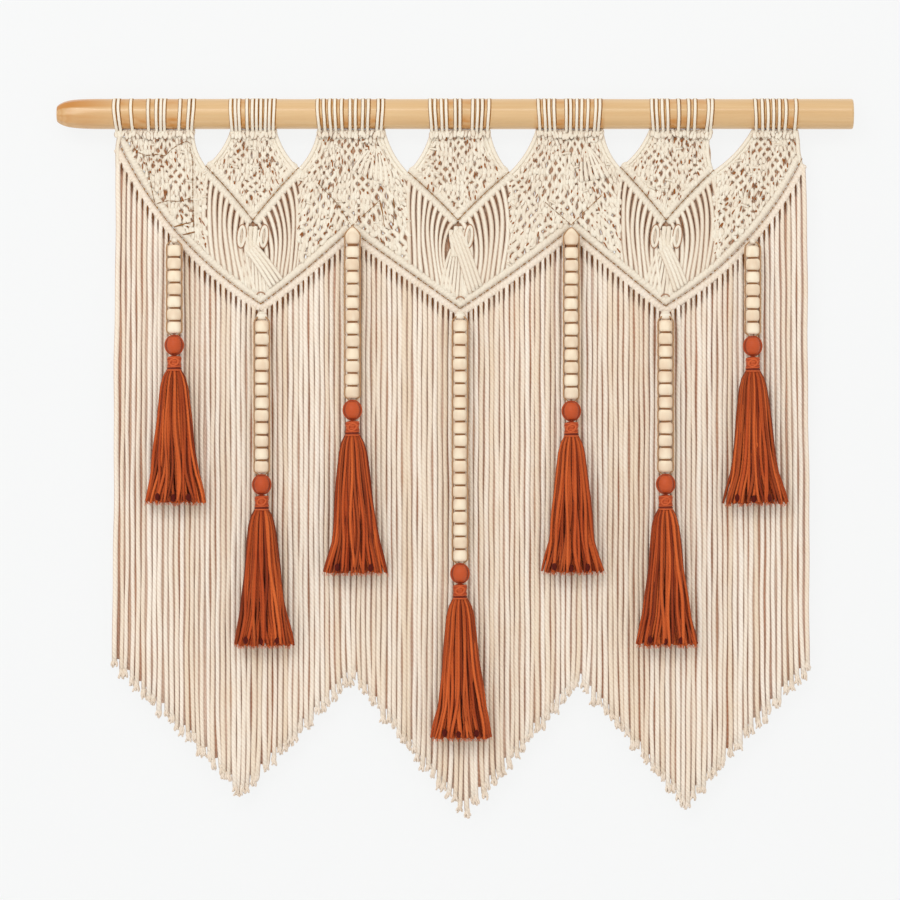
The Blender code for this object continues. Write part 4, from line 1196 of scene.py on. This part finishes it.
# A strand of the skirt keeps its own angle and its own share of the width and depth all the way down, with a
# slow wave of its own. Shares go as a root, so that the strands lie evenly over the cut end.
def makeSkirt(number, x, top, length):
    store, y = newStore(), hangers["headY"]
    count, locks, leanBy = tassel["strands"], tassel["locks"], tassel["leans"][number - 1]
    skirt = length - hangers["headHeight"] - hangers["neckLength"]
    angle = np.arange(count) * 2.39996 + number
    valley = 0.5 - 0.5 * np.cos(locks * angle + number)             # 1 between two locks
    angle = angle - 0.8 / locks * np.sin(locks * angle + number)
    part = np.sqrt((np.arange(count) + 6) / (count + 5))[:, None]
    v = np.linspace(0, 1, 15)
    wide, deep = [np.interp(v, tassel["drops"], tassel[label]) for label in ("widths", "depths")]
    phase = 6.28 * chance.random((3, count, 1))
    turn = angle[:, None] + 0.16 * np.sin(5 * v + phase[0]) * v
    pathX = (x + leanBy * v + wide * (1 - 1.0 / (wide + 1)) * part * np.cos(turn)
             + 0.9 * np.sin(10 * v + phase[1]) * v)
    pathY = (y + np.minimum(0, tassel["backLimit"] - 1.3 - deep)
             + deep * (0.9 - 0.16 * valley[:, None]) * part * np.sin(turn)
             + 0.3 * np.sin(11 * v + phase[2]) * v)
    uneven = 2.6 * (chance.random((count, 1)) - 0.5) - 1.5
    pathZ = top - hangers["neckLength"] + 1.6 - (skirt + uneven + 1.6) * v
    strands = xyz(pathX, pathY, pathZ)
    taper = (0.86 + 0.22 * clamp(v * 3) - 0.25 * clamp((v - 0.95) / 0.05))[:, None]
    thick = tassel["strand"] * (0.85 + 0.35 * chance.random((count, 1, 1)))
    # Painted shade browns each strand's sides, most near the top, and the strands between two locks, and
    # inner strands take a deeper tone; some strands also carry darker streaks of their own.
    streak = 0.5 * clamp(chance.random((count, 1, 1)) - 0.55)
    streak = streak * (0.6 + 0.4 * np.sin(7 * v + phase[0]))[..., None]
    dark = creviceShade(6, 0.75, 0.3) * (1 - 0.3 * v)[:, None] + streak + 0.5 * valley[:, None, None] ** 3
    shade = 0.75 * chance.random(count) + 0.25 * (1 - part[:, 0])
    addTubes(store, strands, taper * thick, shade=shade, tint=clamp(dark))

    # Between some locks dark lumps in the cut end are the painted shade of a hollow there, and loose fibres
    # stand out of it.
    t = roundPlaces(9)
    for share, rise in tassel["hollows"]:
        hollowX = x + leanBy + share * 22 + 2 * chance.random()
        path = xyz(hollowX, y - 9.6, top - hangers["neckLength"] - skirt + rise + 3.2 * t)
        addTubes(store, path, 2.1 * np.sqrt(1 - t ** 2), 10, shade=1.0, tint=1.0)
    fibres = tassel["fibres"]
    root = strands[chance.integers(0, count, fibres), -1:] + (0, 0, 2.0)
    stray = (chance.random((fibres, 1, 3)) - 0.5) * (5.0, 3.0, 1.0) + (0, 0, -4.6)
    addTubes(store, np.concatenate([root, root + stray], 1), 0.16, 3, shade=0.1 * chance.random(fibres))
    makePiece(f"tasselSkirt{number}", store, yarn, "tassel_yarn", f"tassel_{number}")


for number, (x, top, beads, length) in enumerate(hangers["places"], 1):
    makeBeads(number, x, top, beads)
    makeBeadCords(number, x, top, beads)
    if number not in hangers["pointed"]:
        makeKnob(number, x, top)
    headTop = top - beads * hangers["pitch"] - hangers["gap"]
    makeHead(number, x, headTop)
    neckTop = headTop - hangers["headHeight"] - hangers["gap"]
    makeNeck(number, x, neckTop)
    makeSkirt(number, x, neckTop, length)


# Wall, floor, light and camera.

studio = {
    "wallY": 16.8,                       # just behind the cords on the rod, mm
    "wallHalf": 900.0,
    "floorZ": -700.0,
    "floorHalf": 6000.0,
    "wallColour": (0.78, 0.785, 0.79, 1),
    "floorColour": (0.86, 0.86, 0.86, 1),
    "glowColour": (0.936, 0.944, 0.944, 1),
    "wallGlow": 0.9,                     # the part of the wall's brightness that no shadow reaches
    # name, form, size both ways, power, the way to it from the panel, and how much higher it stands, in m
    "lamps": (("key", "DISK", 1.5, 1.5, 15.0, (-0.40, -0.80, 0.46), 0.0),
              ("strip", "RECTANGLE", 2.4, 0.25, 10.0, (0.0, -0.86, 0.50), 0.28)),
    "lampDistance": 2.9,
    "skyColour": (1.0, 0.972, 0.94, 1),          # lights the part
    "backColour": (0.955, 0.96, 0.965, 1),       # is seen behind it
    "lens": 200.0,
    "cameraDistance": 4.145,
    "cameraX": -0.0041,
    "cameraZ": -0.2785,
}


# A flat plate on the stage. It shows its own colour to the camera from its front side. From behind, a plate
# of one side isn't seen and lets light through.
def makePlate(name, corners, colour, oneSided):
    mesh = bpy.data.meshes.new(name)
    mesh.from_pydata([tuple(mm * part for part in corner) for corner in corners], [], [(0, 1, 2, 3)])
    plate = newObject(name, mesh)
    material = bpy.data.materials.new(name)
    material.use_nodes = True
    tree = material.node_tree
    tree.nodes.clear()
    surface = addNode(tree, "ShaderNodeBsdfDiffuse", {"Color": colour}).outputs[0]
    if oneSided:
        glow = addNode(tree, "ShaderNodeEmission", {"Color": studio["glowColour"]}).outputs[0]
        glowing = {0: studio["wallGlow"], 1: surface, 2: glow}
        surface = addNode(tree, "ShaderNodeMixShader", glowing).outputs[0]
        clear = addNode(tree, "ShaderNodeBsdfTransparent", {}).outputs[0]
        back = addNode(tree, "ShaderNodeNewGeometry", {}).outputs["Backfacing"]
        seen = addNode(tree, "ShaderNodeLightPath", {}).outputs["Is Camera Ray"]
        share = times(tree, seen, maths(tree, "SUBTRACT", 1.0, back))
        surface = addNode(tree, "ShaderNodeMixShader", {0: share, 1: clear, 2: surface}).outputs[0]
    addNode(tree, "ShaderNodeOutputMaterial", {0: surface})
    mesh.materials.append(material)


# The world lights the part with one colour and shows the camera another.
def makeWorld():
    world = bpy.data.worlds.new("softStudio")
    bpy.context.scene.world = world
    world.use_nodes = True
    tree = world.node_tree
    tree.nodes.clear()
    fill, plain = [addNode(tree, "ShaderNodeBackground", {"Color": studio[label], "Strength": 1.0}).outputs[0]
                   for label in ("skyColour", "backColour")]
    seen = addNode(tree, "ShaderNodeLightPath", {}).outputs["Is Camera Ray"]
    shown = addNode(tree, "ShaderNodeMixShader", {0: seen, 1: fill, 2: plain}).outputs[0]
    addNode(tree, "ShaderNodeOutputWorld", {0: shown})


# Each lamp stands at the target plus its way times the distance, and faces back along that way.
def makeLamps():
    target = np.array((studio["cameraX"], 0, studio["cameraZ"]))
    for name, form, wide, high, power, way, rise in studio["lamps"]:
        light = bpy.data.lights.new(name, "AREA")
        light.shape = form
        light.size = wide
        light.size_y = high
        light.energy = power
        lamp = newObject(name, light)
        way = unit(np.array(way))
        lamp.location = target + (0, 0, rise) + way * studio["lampDistance"]
        lamp.rotation_euler = Vector(-way).to_track_quat("-Z", "Y").to_euler()


# The wall and floor are upright and level squares, and the camera looks straight at the wall.
def makeStudio():
    half, y, z, far = studio["wallHalf"], studio["wallY"], studio["floorZ"], studio["floorHalf"]
    makePlate("wall", ((-half, y, z), (half, y, z), (half, y, z + 2 * half), (-half, y, z + 2 * half)),
              studio["wallColour"], True)
    makePlate("floor", ((-far, -far, z), (far, -far, z), (far, far, z), (-far, far, z)),
              studio["floorColour"], False)
    makeWorld()
    makeLamps()
    scene = bpy.context.scene
    scene.view_settings.view_transform = "Standard"
    scene.view_settings.look = "None"
    lens = bpy.data.cameras.new("camera")
    lens.lens = studio["lens"]
    lens.sensor_width = 36.0
    lens.clip_end = 100.0
    camera = newObject("camera", lens)
    camera.location = (studio["cameraX"], -studio["cameraDistance"], studio["cameraZ"])
    camera.rotation_euler = (np.pi / 2, 0, 0)
    scene.camera = camera
    print("studio ready")


makeStudio()
